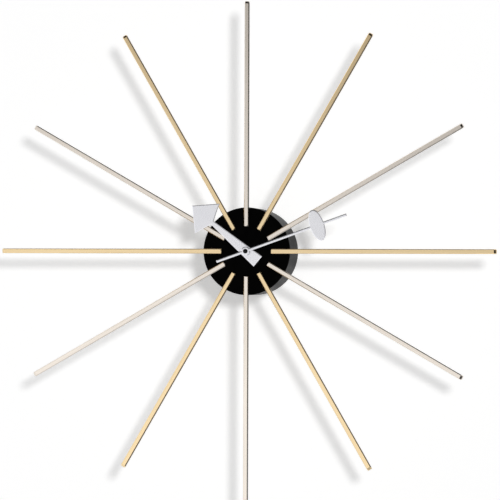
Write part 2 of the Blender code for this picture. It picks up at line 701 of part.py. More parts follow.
def build_hand_train():
    motion_phase = meshed_phase(centre_spot, CANNON_TEETH, 0, motion_spot, MOTION_TEETH)
    hour_phase = meshed_phase(motion_spot, MOTION_PINION_TEETH, 0, centre_spot, HOUR_TEETH)
    setting_phase = meshed_phase(motion_spot, MOTION_TEETH, motion_phase, setting_spot, SETTING_TEETH)
    drill_back = plate_back - PLATE_THICKNESS
    drill_front = pivot_front + RUN_GAP

    shoulder = minute_hand_back - COLLET_HEIGHT - GAP
    arbor = [
        (0, arbor_front),
        (ARBOR_TIP_RADIUS, arbor_front),
        (ARBOR_TIP_RADIUS, shoulder),
        (ARBOR_RADIUS, shoulder),
        (ARBOR_RADIUS, layer(CENTRE_LAYER)),
        (ARBOR_TAIL_RADIUS, layer(CENTRE_LAYER)),
        (ARBOR_TAIL_RADIUS, arbor_back),
        (0, arbor_back),
    ]
    shapes = [
        wheel(CENTRE_TEETH, TRAIN_MODULE, CENTRE_LAYER, 0),
        pinion(CANNON_TEETH, motion_module, MOTION_LAYER, 0),
        turned(arbor),
    ]
    add_train_piece("centre_wheel", "brass", centre_spot, shapes)
    pivot_drill("centre_pivot", centre_spot, ARBOR_TAIL_RADIUS, drill_back, plate_front + PLATE_THICKNESS)

    shapes = [
        wheel(MOTION_TEETH, motion_module, MOTION_LAYER, motion_phase),
        pinion(MOTION_PINION_TEETH, hour_module, HOUR_LAYER, 0),
        plain_arbor(),
    ]
    add_train_piece("motion_wheel", "white_plastic", motion_spot, shapes)
    pivot_drill("motion_pivot", motion_spot, PIVOT_RADIUS, drill_back, drill_front)

    tube = rod_of(tube_radius, layer(HOUR_LAYER), hour_tube_front, steps=MEDIUM_STEPS)
    hour_wheel = add_train_piece(
        "hour_wheel",
        "white_plastic",
        centre_spot,
        [wheel(HOUR_TEETH, hour_module, HOUR_LAYER, hour_phase), tube],
    )
    bore = rod_of(tube_bore, layer(MOTION_LAYER), hour_tube_front + TUBE_WALL, steps=MEDIUM_STEPS)
    shape_by(hour_wheel, "DIFFERENCE", add_cutter("hour_wheel_bore", bore))

    knob_front = case_back - KNOB_STANDOFF
    shaft_back = knob_front - SETTING_SHAFT_GRIP
    shaft = rod_of(SETTING_SHAFT_RADIUS, shaft_back, pivot_front)
    setting_pinion = lone_pinion(SETTING_TEETH, motion_module, MOTION_LAYER, setting_phase)
    add_train_piece("setting_arbor", "white_plastic", setting_spot, [setting_pinion, shaft])
    shaft_drill = case_back - COVER_THICKNESS
    drill = pivot_drill("setting_pivot", setting_spot, SETTING_SHAFT_RADIUS, shaft_drill, drill_front)
    build_knob(knob_front, shaft_back)
    return drill


def build_knob(knob_front, shaft_back):
    knob_back = knob_front - KNOB_HEIGHT
    ribs = []
    for i in range(2 * KNOB_RIBS):
        turn = math.pi * i / KNOB_RIBS
        radius = KNOB_RADIUS - (i % 2) * KNOB_RIB_DEPTH
        ribs.append((radius * math.cos(turn), radius * math.sin(turn)))
    knob = add_piece("setting_knob", "black_plastic", prism([ribs], knob_back, knob_front), setting_spot)
    bore = rod_of(SETTING_SHAFT_RADIUS + RUN_GAP, shaft_back - GAP, knob_front + KNOB_STANDOFF)
    shape_by(knob, "DIFFERENCE", add_cutter("knob_bore", bore, cutters, setting_spot))


# Step motor: rotor in the stator's ring, with the coil's core across the stator's two tabs
def build_motor():
    stator = add_piece(
        "stator",
        "steel",
        block((rotor_spot.x, stator_bar_bottom, stator_back), (stator_right, stator_bar_top, stator_front)),
    )
    lobe = rod_of(stator_ring_radius, stator_back, stator_front, steps=MEDIUM_STEPS)
    shape_by(stator, "UNION", add_cutter("stator_lobe", lobe, cutters, rotor_spot))
    tab_top = coil_at + CORE_SIZE
    post_at = []
    for name, left in (("left", stator_left), ("right", stator_right - STATOR_TAB_WIDTH)):
        tab_bottom = rotor_spot.y if name == "left" else stator_bar_bottom
        tab = block((left, tab_bottom, stator_back), (left + STATOR_TAB_WIDTH, tab_top, stator_front))
        shape_by(stator, "UNION", add_cutter(f"stator_tab_{name}", tab))
        post_y = coil_at - CORE_SIZE / 2 - GAP - STATOR_POST_RADIUS
        post_at.append((left + STATOR_TAB_WIDTH / 2, post_y))
    reach = STATOR_THICKNESS
    hole = rod_of(stator_hole_radius, stator_back - reach, stator_front + reach, steps=MEDIUM_STEPS)
    shape_by(stator, "DIFFERENCE", add_cutter("stator_hole", hole, cutters, rotor_spot))

    half_core = CORE_SIZE / 2
    core = block(
        (stator_left, coil_at - half_core, coil_height - half_core),
        (stator_right, coil_at + half_core, coil_height + half_core),
    )
    add_piece("coil_core", "steel", core)
    flange = COIL_FLANGE_THICKNESS
    bobbin = [
        (COIL_BORE_RADIUS, coil_length),
        (COIL_FLANGE_RADIUS, coil_length),
        (COIL_FLANGE_RADIUS, coil_length - flange),
        (COIL_RADIUS, coil_length - flange),
        (COIL_RADIUS, flange),
        (COIL_FLANGE_RADIUS, flange),
        (COIL_FLANGE_RADIUS, 0),
        (COIL_BORE_RADIUS, 0),
    ]
    along_x = (0, math.pi / 2, 0)
    winding = turned(bobbin, closed=True, steps=MEDIUM_STEPS)
    add_piece("coil_winding", "copper", winding, (coil_left, coil_at), coil_height, along_x)
    return post_at


# Movement housing: case with its neck, train plate on a ledge inside it, and cover
def build_movement(post_at, setting_drill):
    outline = rounded_rectangle(case_left, case_right, -case_half_height, case_half_height, CASE_CORNER)
    case = add_piece("movement_case", "black_plastic", prism([outline], case_back, case_front))
    neck = rod_of(neck_radius, case_floor + CASE_WALL / 2, neck_front, steps=MEDIUM_STEPS)
    shape_by(case, "UNION", add_cutter("case_neck", neck))
    behind = case_back - CASE_WALL
    cavity = block((cavity_left, -cavity_half_height, behind), (cavity_right, cavity_half_height, case_floor))
    shape_by(case, "DIFFERENCE", add_cutter("case_cavity", cavity))
    ledge = plate_front + GAP
    rebate = block((rebate_left, -bay_half_height, behind), (rebate_right, bay_half_height, ledge))
    shape_by(case, "DIFFERENCE", add_cutter("case_rebate", rebate))
    bay = block((bay_left, -bay_half_height, behind), (bay_right, bay_half_height, case_floor))
    shape_by(case, "DIFFERENCE", add_cutter("case_bay", bay))
    for number, spot in enumerate(post_at, start=1):
        post = rod_of(STATOR_POST_RADIUS, stator_front + GAP, case_floor + CASE_WALL / 2, steps=PIN_STEPS)
        shape_by(case, "UNION", add_cutter(f"stator_post_{number}", post, cutters, spot))
    bore = rod_of(neck_bore, case_floor - CASE_WALL, neck_front + CASE_WALL, steps=MEDIUM_STEPS)
    shape_by(case, "DIFFERENCE", add_cutter("case_neck_bore", bore))
    shape_by(case, "DIFFERENCE", pivot_drills)

    left, right = rebate_left + GAP, rebate_right - GAP
    top = bay_half_height - GAP
    plate = block((left, -top, plate_back), (right, top, plate_front))
    plate = add_piece("train_plate", "black_plastic", plate)
    shape_by(plate, "DIFFERENCE", pivot_drills)
    cover = block((left, -top, case_back), (right, top, cover_front))
    cover = add_piece("movement_cover", "black_plastic", cover)
    shape_by(cover, "DIFFERENCE", setting_drill)


# Battery, its leaf contacts, the circuit board and the crystal on it
def build_battery():
    body_front = BATTERY_LENGTH / 2 - BATTERY_NUB_HEIGHT
    body_back = -BATTERY_LENGTH / 2
    edge = BATTERY_EDGE
    profile = [
        (0, BATTERY_LENGTH / 2),
        (BATTERY_NUB_RADIUS, BATTERY_LENGTH / 2),
        (BATTERY_NUB_RADIUS, body_front),
        (BATTERY_RADIUS - edge, body_front),
        (BATTERY_RADIUS, body_front - edge),
        (BATTERY_RADIUS, body_back + edge),
        (BATTERY_RADIUS - edge, body_back),
        (0, body_back),
    ]
    along_y = (-math.pi / 2, 0, 0)
    spot = (bay_middle, 0)
    add_piece("battery", "battery_wrap", turned(profile, steps=MEDIUM_STEPS), spot, battery_height, along_y)


def build_contacts():
    """Leaf springs on the bay's end walls, each bulging towards the battery."""
    half = CONTACT_HEIGHT / 2
    steps = 6
    near, far = [], []
    for i in range(steps + 1):
        share = i / steps
        bow = GAP + CONTACT_BULGE * math.sin(math.pi * share)
        height = battery_height + half * (2 * share - 1)
        near.append((bay_half_height - bow, height))
        far.append((bay_half_height - bow - CONTACT_THICKNESS, height))
    lay_across = Matrix(((0, 0, 1, 0), (1, 0, 0, 0), (0, 1, 0, 0), (0, 0, 0, 1)))
    for name, turn in (("contact_positive", 0), ("contact_negative", math.pi)):
        leaf = prism([near + far[::-1]], -CONTACT_WIDTH / 2, CONTACT_WIDTH / 2)
        leaf.transform(lay_across)
        add_piece(name, "steel", leaf, (bay_middle, 0), 0, (0, 0, turn))


def build_board():
    bottom = -cavity_half_height + WHEEL_CLEARANCE
    left = cavity_left + WHEEL_CLEARANCE
    back = plate_front + GAP
    front = back + BOARD_THICKNESS
    plate = block((left, bottom, back), (left + BOARD_WIDTH, bottom + BOARD_HEIGHT, front))
    board = add_piece("circuit_board", "board_green", plate)
    chip_spot = (left + BOARD_WIDTH * 0.7, bottom + BOARD_HEIGHT / 2)
    chip_front = front + CHIP_HEIGHT
    chip = turned([(0, chip_front), (CHIP_TOP_RADIUS, chip_front), (CHIP_RADIUS, front), (0, back)])
    shape_by(board, "UNION", add_cutter("board_chip", chip, cutters, chip_spot))
    crystal = rod_of(CRYSTAL_RADIUS, 0, CRYSTAL_LENGTH, steps=PIN_STEPS)
    spot = (left + BOARD_WIDTH * 0.2, bottom + BOARD_HEIGHT / 2)
    add_piece("quartz_crystal", "steel", crystal, spot, front + GAP + CRYSTAL_RADIUS, (0, math.pi / 2, 0))


# Hanger: a flush strip with a keyhole, screwed to two pillars that stand on the inside of the face
def keyhole():
    slot = KEYHOLE_SLOT_WIDTH / 2
    mouth = math.asin(slot / KEYHOLE_RADIUS)
    points = []
    steps = 20
    for i in range(steps + 1):
        turn = math.pi / 2 + mouth + (2 * math.pi - 2 * mouth) * i / steps
        points.append((KEYHOLE_RADIUS * math.cos(turn), KEYHOLE_AT + KEYHOLE_RADIUS * math.sin(turn)))
    steps = 8
    for i in range(steps + 1):
        turn = math.pi * i / steps
        points.append((slot * math.cos(turn), KEYHOLE_AT + KEYHOLE_SLOT_RISE + slot * math.sin(turn)))
    return points


def countersunk(extra, back):
    """Profile of a countersunk screw that points forward, grown by extra all round."""
    head = PILLAR_SCREW_HEAD_RADIUS + extra
    shank = PILLAR_SCREW_RADIUS + extra
    cone_front = PILLAR_SCREW_RIM + PILLAR_SCREW_HEAD_RADIUS - PILLAR_SCREW_RADIUS
    tip = pillar_back + PILLAR_SCREW_GRIP + extra
    return [(0, tip), (shank, tip), (shank, cone_front), (head, PILLAR_SCREW_RIM), (head, back), (0, back)]


def build_hanger():
    half = STRIP_WIDTH / 2
    reach = pillar_at + STRIP_END
    outline = rounded_rectangle(-half, half, -reach, reach, CASE_CORNER)
    strip = add_piece("hanger_strip", "steel", prism([outline, keyhole()], 0, STRIP_THICKNESS))
    for name, y in (("upper", pillar_at), ("lower", -pillar_at)):
        spot = (0, y)
        hole = turned(countersunk(RUN_GAP, -STRIP_THICKNESS))
        hole = add_cutter(f"hanger_hole_{name}", hole, cutters, spot)
        shape_by(strip, "DIFFERENCE", hole)
        pillar = add_piece(f"pillar_{name}", "steel", rod_of(PILLAR_RADIUS, pillar_back, pillar_front), spot)
        shape_by(pillar, "DIFFERENCE", hole)
        add_piece(f"pillar_screw_{name}", "steel", turned(countersunk(0, 0)), spot)


build_rods()
build_drum()
build_hour_hand()
build_minute_hand()
build_cap_nut()
build_neck_fixing()
build_reduction_train()
motor_posts = build_motor()
build_movement(motor_posts, build_hand_train())
build_battery()
build_contacts()
build_board()
build_hanger()
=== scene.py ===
# Sunburst wall clock: the looks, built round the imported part.
# Metres. The wall plane is Y = 0, +Z points to 12 o'clock and +X to 3 o'clock.
import json
import math

import bmesh
import bpy
from mathutils import Matrix, Vector

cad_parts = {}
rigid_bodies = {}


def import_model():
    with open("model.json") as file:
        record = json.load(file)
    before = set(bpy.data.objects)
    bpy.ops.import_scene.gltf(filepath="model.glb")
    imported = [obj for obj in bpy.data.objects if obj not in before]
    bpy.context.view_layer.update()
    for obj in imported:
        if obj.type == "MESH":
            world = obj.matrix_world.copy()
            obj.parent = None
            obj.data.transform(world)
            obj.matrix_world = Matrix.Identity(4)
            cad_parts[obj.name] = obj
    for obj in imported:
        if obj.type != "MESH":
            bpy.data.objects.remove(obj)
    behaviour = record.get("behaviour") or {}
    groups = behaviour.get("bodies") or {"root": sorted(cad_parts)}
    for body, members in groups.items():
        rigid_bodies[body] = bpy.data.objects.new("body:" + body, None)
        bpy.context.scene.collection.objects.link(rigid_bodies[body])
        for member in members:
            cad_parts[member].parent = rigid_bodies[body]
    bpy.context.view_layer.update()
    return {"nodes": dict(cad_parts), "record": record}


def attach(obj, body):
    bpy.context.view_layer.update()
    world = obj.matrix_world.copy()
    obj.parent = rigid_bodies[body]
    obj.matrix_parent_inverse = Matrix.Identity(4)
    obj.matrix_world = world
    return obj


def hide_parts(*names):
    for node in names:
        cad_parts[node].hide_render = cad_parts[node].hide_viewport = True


mm = 0.001
for old in list(bpy.data.objects):
    bpy.data.objects.remove(old, do_unlink=True)
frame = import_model()
cadNodes = frame["nodes"]
slotOf = {part["node"]: part["material_slot"] for part in frame["record"]["subparts"]}
bodyOf = {name: body for body, names in frame["record"]["behaviour"]["bodies"].items() for name in names}

# pieces are drawn with x to the right, y up and z off the wall, then stood against the wall
offWall = Matrix(((1, 0, 0, 0), (0, 0, -1, 0), (0, 1, 0, 0), (0, 0, 0, 1)))
weld = 0.001 * mm
flatAngle = math.radians(0.5)
handCrease = math.radians(12)
smoothAngle = math.radians(35)
bevelAngle = math.radians(40)
# the hours, and the degrees from one to the next
hours = range(1, 13)
hourStep = 30
# sides of round shapes
sides = {
    "cell": 72, "knob": 72, "collar": 64, "wall": 64, "turned": 48, "bore": 40, "screw": 28, "drill": 16,
    "rib": 10,
}
# where most of a noise pattern's values lie
noiseSpan = (0.3, 0.7)


# nodes, for finishes and for shapes
def feed(tree, socket, value):
    if isinstance(value, bpy.types.NodeSocket):
        tree.links.new(value, socket)
    else:
        socket.default_value = value


def addNode(tree, kind, values=None, **settings):
    made = tree.nodes.new(kind)
    for key, value in settings.items():
        setattr(made, key, value)
    for key, value in (values or {}).items():
        feed(tree, made.inputs[key], value)
    return made


def nodeOut(tree, kind, values=None, **settings):
    return addNode(tree, kind, values, **settings).outputs[0]


def calc(tree, operation, *values):
    return nodeOut(tree, "ShaderNodeMath", dict(enumerate(values)), operation=operation)


def joined(tree, x, y, z):
    return nodeOut(tree, "ShaderNodeCombineXYZ", {0: x, 1: y, 2: z})


def parted(tree, vector):
    return addNode(tree, "ShaderNodeSeparateXYZ", {0: vector}).outputs


def measured(tree, operation, *vectors):
    made = addNode(tree, "ShaderNodeVectorMath", dict(enumerate(vectors)), operation=operation)
    return made.outputs["Value"]


def beyond(tree, value, low, high):
    return calc(tree, "ADD", calc(tree, "LESS_THAN", value, low), calc(tree, "GREATER_THAN", value, high))


def ranged(tree, value, low, high, toLow=0.0, toHigh=1.0, blend="SMOOTHSTEP"):
    values = {"Value": value, "From Min": low, "From Max": high, "To Min": toLow, "To Max": toHigh}
    return nodeOut(tree, "ShaderNodeMapRange", values, interpolation_type=blend)


def mixed(tree, factor, first, second):
    return addNode(tree, "ShaderNodeMix", {0: factor, 6: first, 7: second}, data_type="RGBA").outputs[2]


# finishes
def grey(level):
    return (level, level, level, 1)


def onPiece(tree, stretch=(1, 1, 1)):
    spot = addNode(tree, "ShaderNodeTexCoord").outputs["Object"]
    return nodeOut(tree, "ShaderNodeMapping", {"Vector": spot, "Scale": stretch})


def noise(tree, vector, scale, detail=3.0):
    return nodeOut(tree, "ShaderNodeTexNoise", {"Vector": vector, "Scale": scale, "Detail": detail})


# the finish's two tones, mixed by a pattern
def toned(tree, look, pattern):
    return mixed(tree, ranged(tree, pattern, *noiseSpan), look["colour"], look["shade"])


# a colour, and a grain that varies the roughness and stands in relief
def coat(tree, shader, look, colour, grain, duller=0.0):
    rough = ranged(tree, grain, *noiseSpan, *look["roughness"])
    relief = nodeOut(tree, "ShaderNodeBump", {"Height": grain, "Distance": look["relief"]})
    feed(tree, shader.inputs["Base Color"], colour)
    feed(tree, shader.inputs["Roughness"], calc(tree, "ADD", rough, duller))
    feed(tree, shader.inputs["Normal"], relief)


# a slow drift of tone, and a fine grain that may be drawn out one way
def grainFinish(tree, shader, look):
    grain = noise(tree, onPiece(tree, look.get("stretch", (1, 1, 1))), look["grain"], detail=2.0)
    coat(tree, shader, look, toned(tree, look, noise(tree, onPiece(tree), look["mottle"])), grain)


# brushed bar stock: lines along each rod, a slow drift of tone and bright worn edges; the side faces are
# rougher, and painted much darker as a painted shade for the dark reflections along the rods' edges
def rodFinish(tree, shader, look):
    space = addNode(tree, "ShaderNodeAttribute", attribute_name="rodSpace").outputs["Vector"]
    number = addNode(tree, "ShaderNodeAttribute", attribute_name="copyNumber").outputs["Fac"]
    across, along, height = parted(tree, space)
    along = calc(tree, "ADD", along, number)
    stretched = ((across, look["lines"]), (along, look["lineRun"]), (height, look["lines"]))
    lineSpot = joined(tree, *(calc(tree, "MULTIPLY", *pair) for pair in stretched))
    lines = noise(tree, lineSpot, 1.0, detail=4.0)
    drift = noise(tree, joined(tree, number, along, 0.0), look["drift"], detail=2.0)
    facing = parted(tree, addNode(tree, "ShaderNodeNewGeometry").outputs["Normal"])[1]
    side = ranged(tree, calc(tree, "ABSOLUTE", facing), *look["sideLean"])
    rim = ranged(tree, calc(tree, "ABSOLUTE", across), *look["rim"], 0.0, look["rimShare"])
    colour = toned(tree, look, lines)
    colour = mixed(tree, ranged(tree, drift, *noiseSpan, 0.0, look["driftShare"]), colour, look["shade"])
    colour = mixed(tree, rim, colour, look["worn"])
    # painted shade: the side faces take the dark "side" colour, standing in for the dark reflection along
    # each rod's edge
    colour = mixed(tree, calc(tree, "MULTIPLY", side, look["sideShadeShare"]), colour, look["side"])
    coat(tree, shader, look, colour, lines, calc(tree, "MULTIPLY", side, look["sideRough"]))


# machined sheet: rings cut round the clock's axis
def ringFinish(tree, shader, look):
    x, y, z = parted(tree, onPiece(tree))
    reach = measured(tree, "LENGTH", joined(tree, x, 0.0, z))
    rings = noise(tree, joined(tree, reach, y, 0.0), look["rings"], detail=2.0)
    coat(tree, shader, look, toned(tree, look, rings), rings)


# printed board: solder mask with darker copper runs, and a black blob over the chip
def boardFinish(tree, shader, look):
    spot = onPiece(tree)
    runs = addNode(tree, "ShaderNodeTexBrick", {
        "Vector": nodeOut(tree, "ShaderNodeMapping", {"Vector": spot, "Rotation": (math.pi / 2, 0, 0)}),
        "Color1": look["mask"], "Color2": look["run"], "Mortar": look["gap"],
        "Scale": look["runScale"], "Mortar Size": look["gapWidth"],
    }).outputs["Color"]
    blob = calc(tree, "LESS_THAN", parted(tree, spot)[1], -look["blobFrom"])
    coat(tree, shader, look, mixed(tree, blob, runs, look["blob"]), noise(tree, spot, look["grain"]))


# wrapped cell: a plain dark green wrap with a pale band near the plus end, and bare ends
def cellFinish(tree, shader, look):
    spot = onPiece(tree)
    height = parted(tree, spot)[2]
    offBand = beyond(tree, height, *look["bandSpan"])
    bare = beyond(tree, height, *look["wrapSpan"])
    wrap = toned(tree, look, noise(tree, spot, look["mottle"]))
    colour = mixed(tree, offBand, look["band"], wrap)
    feed(tree, shader.inputs["Metallic"], bare)
    coat(tree, shader, look, mixed(tree, bare, colour, look["bare"]), noise(tree, spot, look["grain"]))


def addFinish(name, look):
    material = bpy.data.materials.new(name)
    material.use_nodes = True
    tree = material.node_tree
    shader = tree.nodes["Principled BSDF"]
    shader.inputs["Metallic"].default_value = look.get("metallic", 0.0)
    shader.inputs["Specular IOR Level"].default_value = look.get("specular", 0.5)
    look.get("kind", grainFinish)(tree, shader, look)
    return material


rodGrain = {
    "kind": rodFinish, "metallic": 1.0, "lines": 7000.0, "lineRun": 14.0, "drift": 9.0, "driftShare": 0.35,
    "rim": (2.3 * mm, 2.9 * mm), "rimShare": 0.3, "sideLean": (0.6, 0.2), "sideShadeShare": 0.8, "sideRough": 0.15,
    "roughness": (0.12, 0.2), "relief": 0.002 * mm,
}
looks = {
    "drumPaint": {
        "colour": grey(0.001), "shade": (0.0016, 0.0016, 0.0015, 1), "specular": 0.008,
        "mottle": 60.0, "grain": 2200.0, "roughness": (0.24, 0.32), "relief": 0.006 * mm,
    },
    # a black several times paler than the face's: painted sheen for the grazing light along the drum's side
    "drumSidePaintedSheen": {
        "colour": (0.009, 0.009, 0.0092, 1), "shade": (0.013, 0.013, 0.0132, 1), "specular": 0.006,
        "mottle": 60.0, "grain": 2200.0, "roughness": (0.26, 0.34), "relief": 0.006 * mm,
    },
    "drumPrimer": {
        "colour": (0.030, 0.030, 0.032, 1), "shade": (0.040, 0.040, 0.041, 1), "specular": 0.3,
        "mottle": 70.0, "grain": 1500.0, "roughness": (0.5, 0.66), "relief": 0.015 * mm,
    },
    "handMetal": {
        "colour": (0.89, 0.89, 0.925, 1), "shade": (0.86, 0.86, 0.90, 1), "metallic": 1.0,
        "mottle": 45.0, "grain": 1800.0, "roughness": (0.2, 0.3), "relief": 0.001 * mm,
    },
    "glossBlack": {
        "colour": grey(0.002), "shade": grey(0.004), "specular": 0.2,
        "mottle": 300.0, "grain": 2600.0, "roughness": (0.1, 0.2), "relief": 0.003 * mm,
    },
    "zincSteel": {
        "colour": (0.60, 0.60, 0.61, 1), "shade": (0.47, 0.48, 0.50, 1), "metallic": 1.0, "mottle": 260.0,
        "grain": 900.0, "stretch": (6, 1, 0.25), "roughness": (0.28, 0.46), "relief": 0.012 * mm,
    },
    "blackMoulding": {
        "colour": (0.018, 0.018, 0.02, 1), "shade": (0.028, 0.028, 0.03, 1),
        "mottle": 90.0, "grain": 3600.0, "roughness": (0.42, 0.6), "relief": 0.02 * mm,
    },
    "paleMoulding": {
        "colour": (0.80, 0.79, 0.74, 1), "shade": (0.74, 0.73, 0.68, 1),
        "mottle": 160.0, "grain": 3000.0, "roughness": (0.36, 0.5), "relief": 0.008 * mm,
    },
    "softRubber": {
        "colour": grey(0.022), "shade": (0.035, 0.034, 0.033, 1), "specular": 0.3,
        "mottle": 300.0, "grain": 4200.0, "roughness": (0.7, 0.85), "relief": 0.03 * mm,
    },
    "coilCopper": {
        "colour": (0.72, 0.30, 0.14, 1), "shade": (0.55, 0.20, 0.09, 1), "metallic": 1.0, "mottle": 500.0,
        "grain": 2400.0, "stretch": (3, 1, 1), "roughness": (0.25, 0.4), "relief": 0.006 * mm,
    },
    "rotorMagnet": {
        "colour": (0.10, 0.10, 0.105, 1), "shade": (0.16, 0.155, 0.15, 1), "metallic": 0.8,
        "mottle": 700.0, "grain": 5000.0, "roughness": (0.4, 0.6), "relief": 0.01 * mm,
    },
    "wheelBrass": {
        "kind": ringFinish, "metallic": 1.0, "colour": (0.83, 0.62, 0.32, 1), "shade": (0.70, 0.50, 0.24, 1),
        "rings": 3500.0, "roughness": (0.22, 0.36), "relief": 0.004 * mm,
    },
    # each "side" colour below is a painted shade: a dark tone laid on the rods' side faces for the dark edge
    # reflections
    "rodBrass": {
        **rodGrain, "colour": (0.90, 0.72, 0.45, 1), "shade": (0.84, 0.64, 0.37, 1),
        "worn": (0.94, 0.80, 0.56, 1), "side": (0.20, 0.13, 0.06, 1),
    },
    "rodAluminium": {
        **rodGrain, "colour": (0.86, 0.79, 0.715, 1), "shade": (0.79, 0.72, 0.64, 1),
        "worn": (0.92, 0.88, 0.84, 1), "side": (0.16, 0.14, 0.12, 1),
    },
    "boardGreen": {
        "kind": boardFinish, "mask": (0.025, 0.15, 0.06, 1), "run": (0.035, 0.20, 0.08, 1), "runScale": 420.0,
        "gap": (0.012, 0.08, 0.03, 1), "gapWidth": 0.02, "blob": (0.01, 0.01, 0.011, 1),
        "blobFrom": 49.75 * mm, "grain": 1500.0, "roughness": (0.3, 0.45), "relief": 0.01 * mm,
    },
    "cellWrap": {
        "kind": cellFinish, "colour": (0.02, 0.085, 0.06, 1), "shade": (0.016, 0.07, 0.05, 1),
        "wrapSpan": (-24.6 * mm, 23.3 * mm), "bare": grey(0.62), "band": (0.62, 0.62, 0.60, 1),
        "bandSpan": (15.0 * mm, 18.5 * mm), "mottle": 120.0, "grain": 2500.0, "roughness": (0.22, 0.34),
        "relief": 0.004 * mm,
    },
}
finishes = {name: addFinish(name, look) for name, look in looks.items()}
print("finishes:", len(finishes))


# meshes
def linked(name, mesh):
    made = bpy.data.objects.new(name, mesh)
    bpy.context.scene.collection.objects.link(made)
    return made


def evaluated(helper):
    graph = bpy.context.evaluated_depsgraph_get()
    shown = helper.evaluated_get(graph)
    return bpy.data.meshes.new_from_object(shown, preserve_all_data_layers=True, depsgraph=graph)


def opened(*meshes):
    shape = bmesh.new()
    for mesh in meshes:
        shape.from_mesh(mesh)
    return shape


def merge(shape):
    bmesh.ops.remove_doubles(shape, verts=shape.verts, dist=weld)
    bmesh.ops.dissolve_degenerate(shape, edges=shape.edges, dist=weld)


# the helper's evaluated shape as a plain mesh, with its shading weighted by face so that flats stay flat
def plainMesh(helper, edge=0.0, segments=2):
    if edge:
        bevel = helper.modifiers.new("edges", "BEVEL")
        bevel.width = edge
        bevel.segments = segments
        bevel.limit_method = "ANGLE"
        bevel.angle_limit = bevelAngle
        bevelled = evaluated(helper)
        helper.modifiers.clear()
        shape = opened(bevelled)
        merge(shape)
        shape.to_mesh(bevelled)
        shape.free()
        helper.data = bevelled
    helper.modifiers.new("shading", "WEIGHTED_NORMAL").keep_sharp = True
    mesh = evaluated(helper)
    bpy.data.objects.remove(helper, do_unlink=True)
    return mesh


def tidied(shape, name):
    merge(shape)
    bmesh.ops.recalc_face_normals(shape, faces=shape.faces)
    mesh = bpy.data.meshes.new(name)
    shape.to_mesh(mesh)
    shape.free()
    mesh.shade_smooth()
    mesh.set_sharp_from_angle(angle=smoothAngle)
    return mesh


# a profile of (radius, height) points turned about z; it closes on itself where it leaves the axis
def turnedMesh(profile, steps=sides["turned"]):
    shape = bmesh.new()
    rings = []
    for radius, height in profile:
        turns = [2 * math.pi * i / steps for i in range(steps if radius > weld else 1)]
        rings.append([shape.verts.new((radius * math.cos(t), radius * math.sin(t), height)) for t in turns])
    pairs = list(zip(rings, rings[1:]))
    if len(rings[0]) > 1 and len(rings[-1]) > 1:
        pairs.append((rings[-1], rings[0]))
    for first, second in pairs:
        for i in range(steps):
            j = (i + 1) % steps
            spots = ((first, i), (first, j), (second, j), (second, i))
            corners = list(dict.fromkeys(ring[at % len(ring)] for ring, at in spots))
            if len(corners) > 2:
                shape.faces.new(corners)
    return tidied(shape, "turned")


def pinMesh(radius, back, front, steps=sides["turned"]):
    return turnedMesh([(0, front), (radius, front), (radius, back), (0, back)], steps)


def onCircle(middle, radius, degrees):
    turn = math.radians(degrees)
    return middle[0] + radius * math.cos(turn), middle[1] + radius * math.sin(turn)


def arc(middle, radius, start, end, steps):
    return [onCircle(middle, radius, start + (end - start) * i / steps) for i in range(steps + 1)]


# flat outlines, the first the edge and the others holes, from height back to front with rounded edges
def plateMesh(outlines, back, front, edge):
    curve = bpy.data.curves.new("outline", "CURVE")
    curve.dimensions = "2D"
    curve.fill_mode = "BOTH"
    curve.extrude = (front - back) / 2 - edge
    curve.bevel_depth = edge
    curve.bevel_resolution = 1
    curve.offset = -edge
    for outline in outlines:
        spline = curve.splines.new("POLY")
        spline.points.add(len(outline) - 1)
        spline.use_cyclic_u = True
        for point, (x, y) in zip(spline.points, outline):
            point.co = (x, y, 0, 1)
    helper = linked("outline", curve)
    mesh = evaluated(helper)
    bpy.data.objects.remove(helper, do_unlink=True)
    mesh.transform(Matrix.Translation((0, 0, (back + front) / 2)))
    return tidied(opened(mesh), "plate")


def blockMesh(low, high):
    shape = bmesh.new()
    bmesh.ops.create_cube(shape, size=1)
    low, high = Vector(low), Vector(high)
    bmesh.ops.scale(shape, vec=high - low, verts=shape.verts)
    bmesh.ops.translate(shape, vec=(low + high) / 2, verts=shape.verts)
    return tidied(shape, "block")


def together(meshes):
    return tidied(opened(*meshes), "together")


# joins and cuts, in order: steps are pairs of a Boolean operation and a mesh
def shaped(mesh, *steps):
    helper = linked("shaped", mesh)
    tools = []
    for operation, tool in steps:
        tools.append(linked("tool", tool))
        boolean = helper.modifiers.new(operation, "BOOLEAN")
        boolean.operation = operation
        boolean.solver = "EXACT"
        boolean.object = tools[-1]
    mesh = plainMesh(helper)
    for tool in tools:
        bpy.data.objects.remove(tool, do_unlink=True)
    return tidied(opened(mesh), "shaped")


def paint(mesh, *names):
    mesh.materials.clear()
    for name in names:
        mesh.materials.append(finishes[name])


def addPiece(name, mesh, finish, replaced=(), edge=0.0, segments=2, body="clock_body", stand=offWall):
    mesh.transform(stand)
    mesh = plainMesh(linked(name, mesh), edge, segments)
    mesh.name = name
    paint(mesh, finish)
    piece = linked(name, mesh)
    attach(piece, body)
    if replaced:
        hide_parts(*replaced)
    return piece


# a copy of a CAD node, merged, its flats made whole and its edges broken as a moulded or stamped part's are
def softened(nodeName, pieceName, finish, edge):
    shape = opened(cadNodes[nodeName].data)
    bmesh.ops.remove_doubles(shape, verts=shape.verts, dist=weld)
    bmesh.ops.dissolve_limit(shape, angle_limit=flatAngle, verts=shape.verts, edges=shape.edges)
    mesh, slot, body = tidied(shape, pieceName), slotOf[nodeName], bodyOf[nodeName]
    addPiece(pieceName, mesh, finish, [nodeName], edge, body=body, stand=Matrix())


# geometry node trees, with an input for each of a piece's sizes and one for its finish
socketKinds = {int: "Int", float: "Float", tuple: "Vector"}


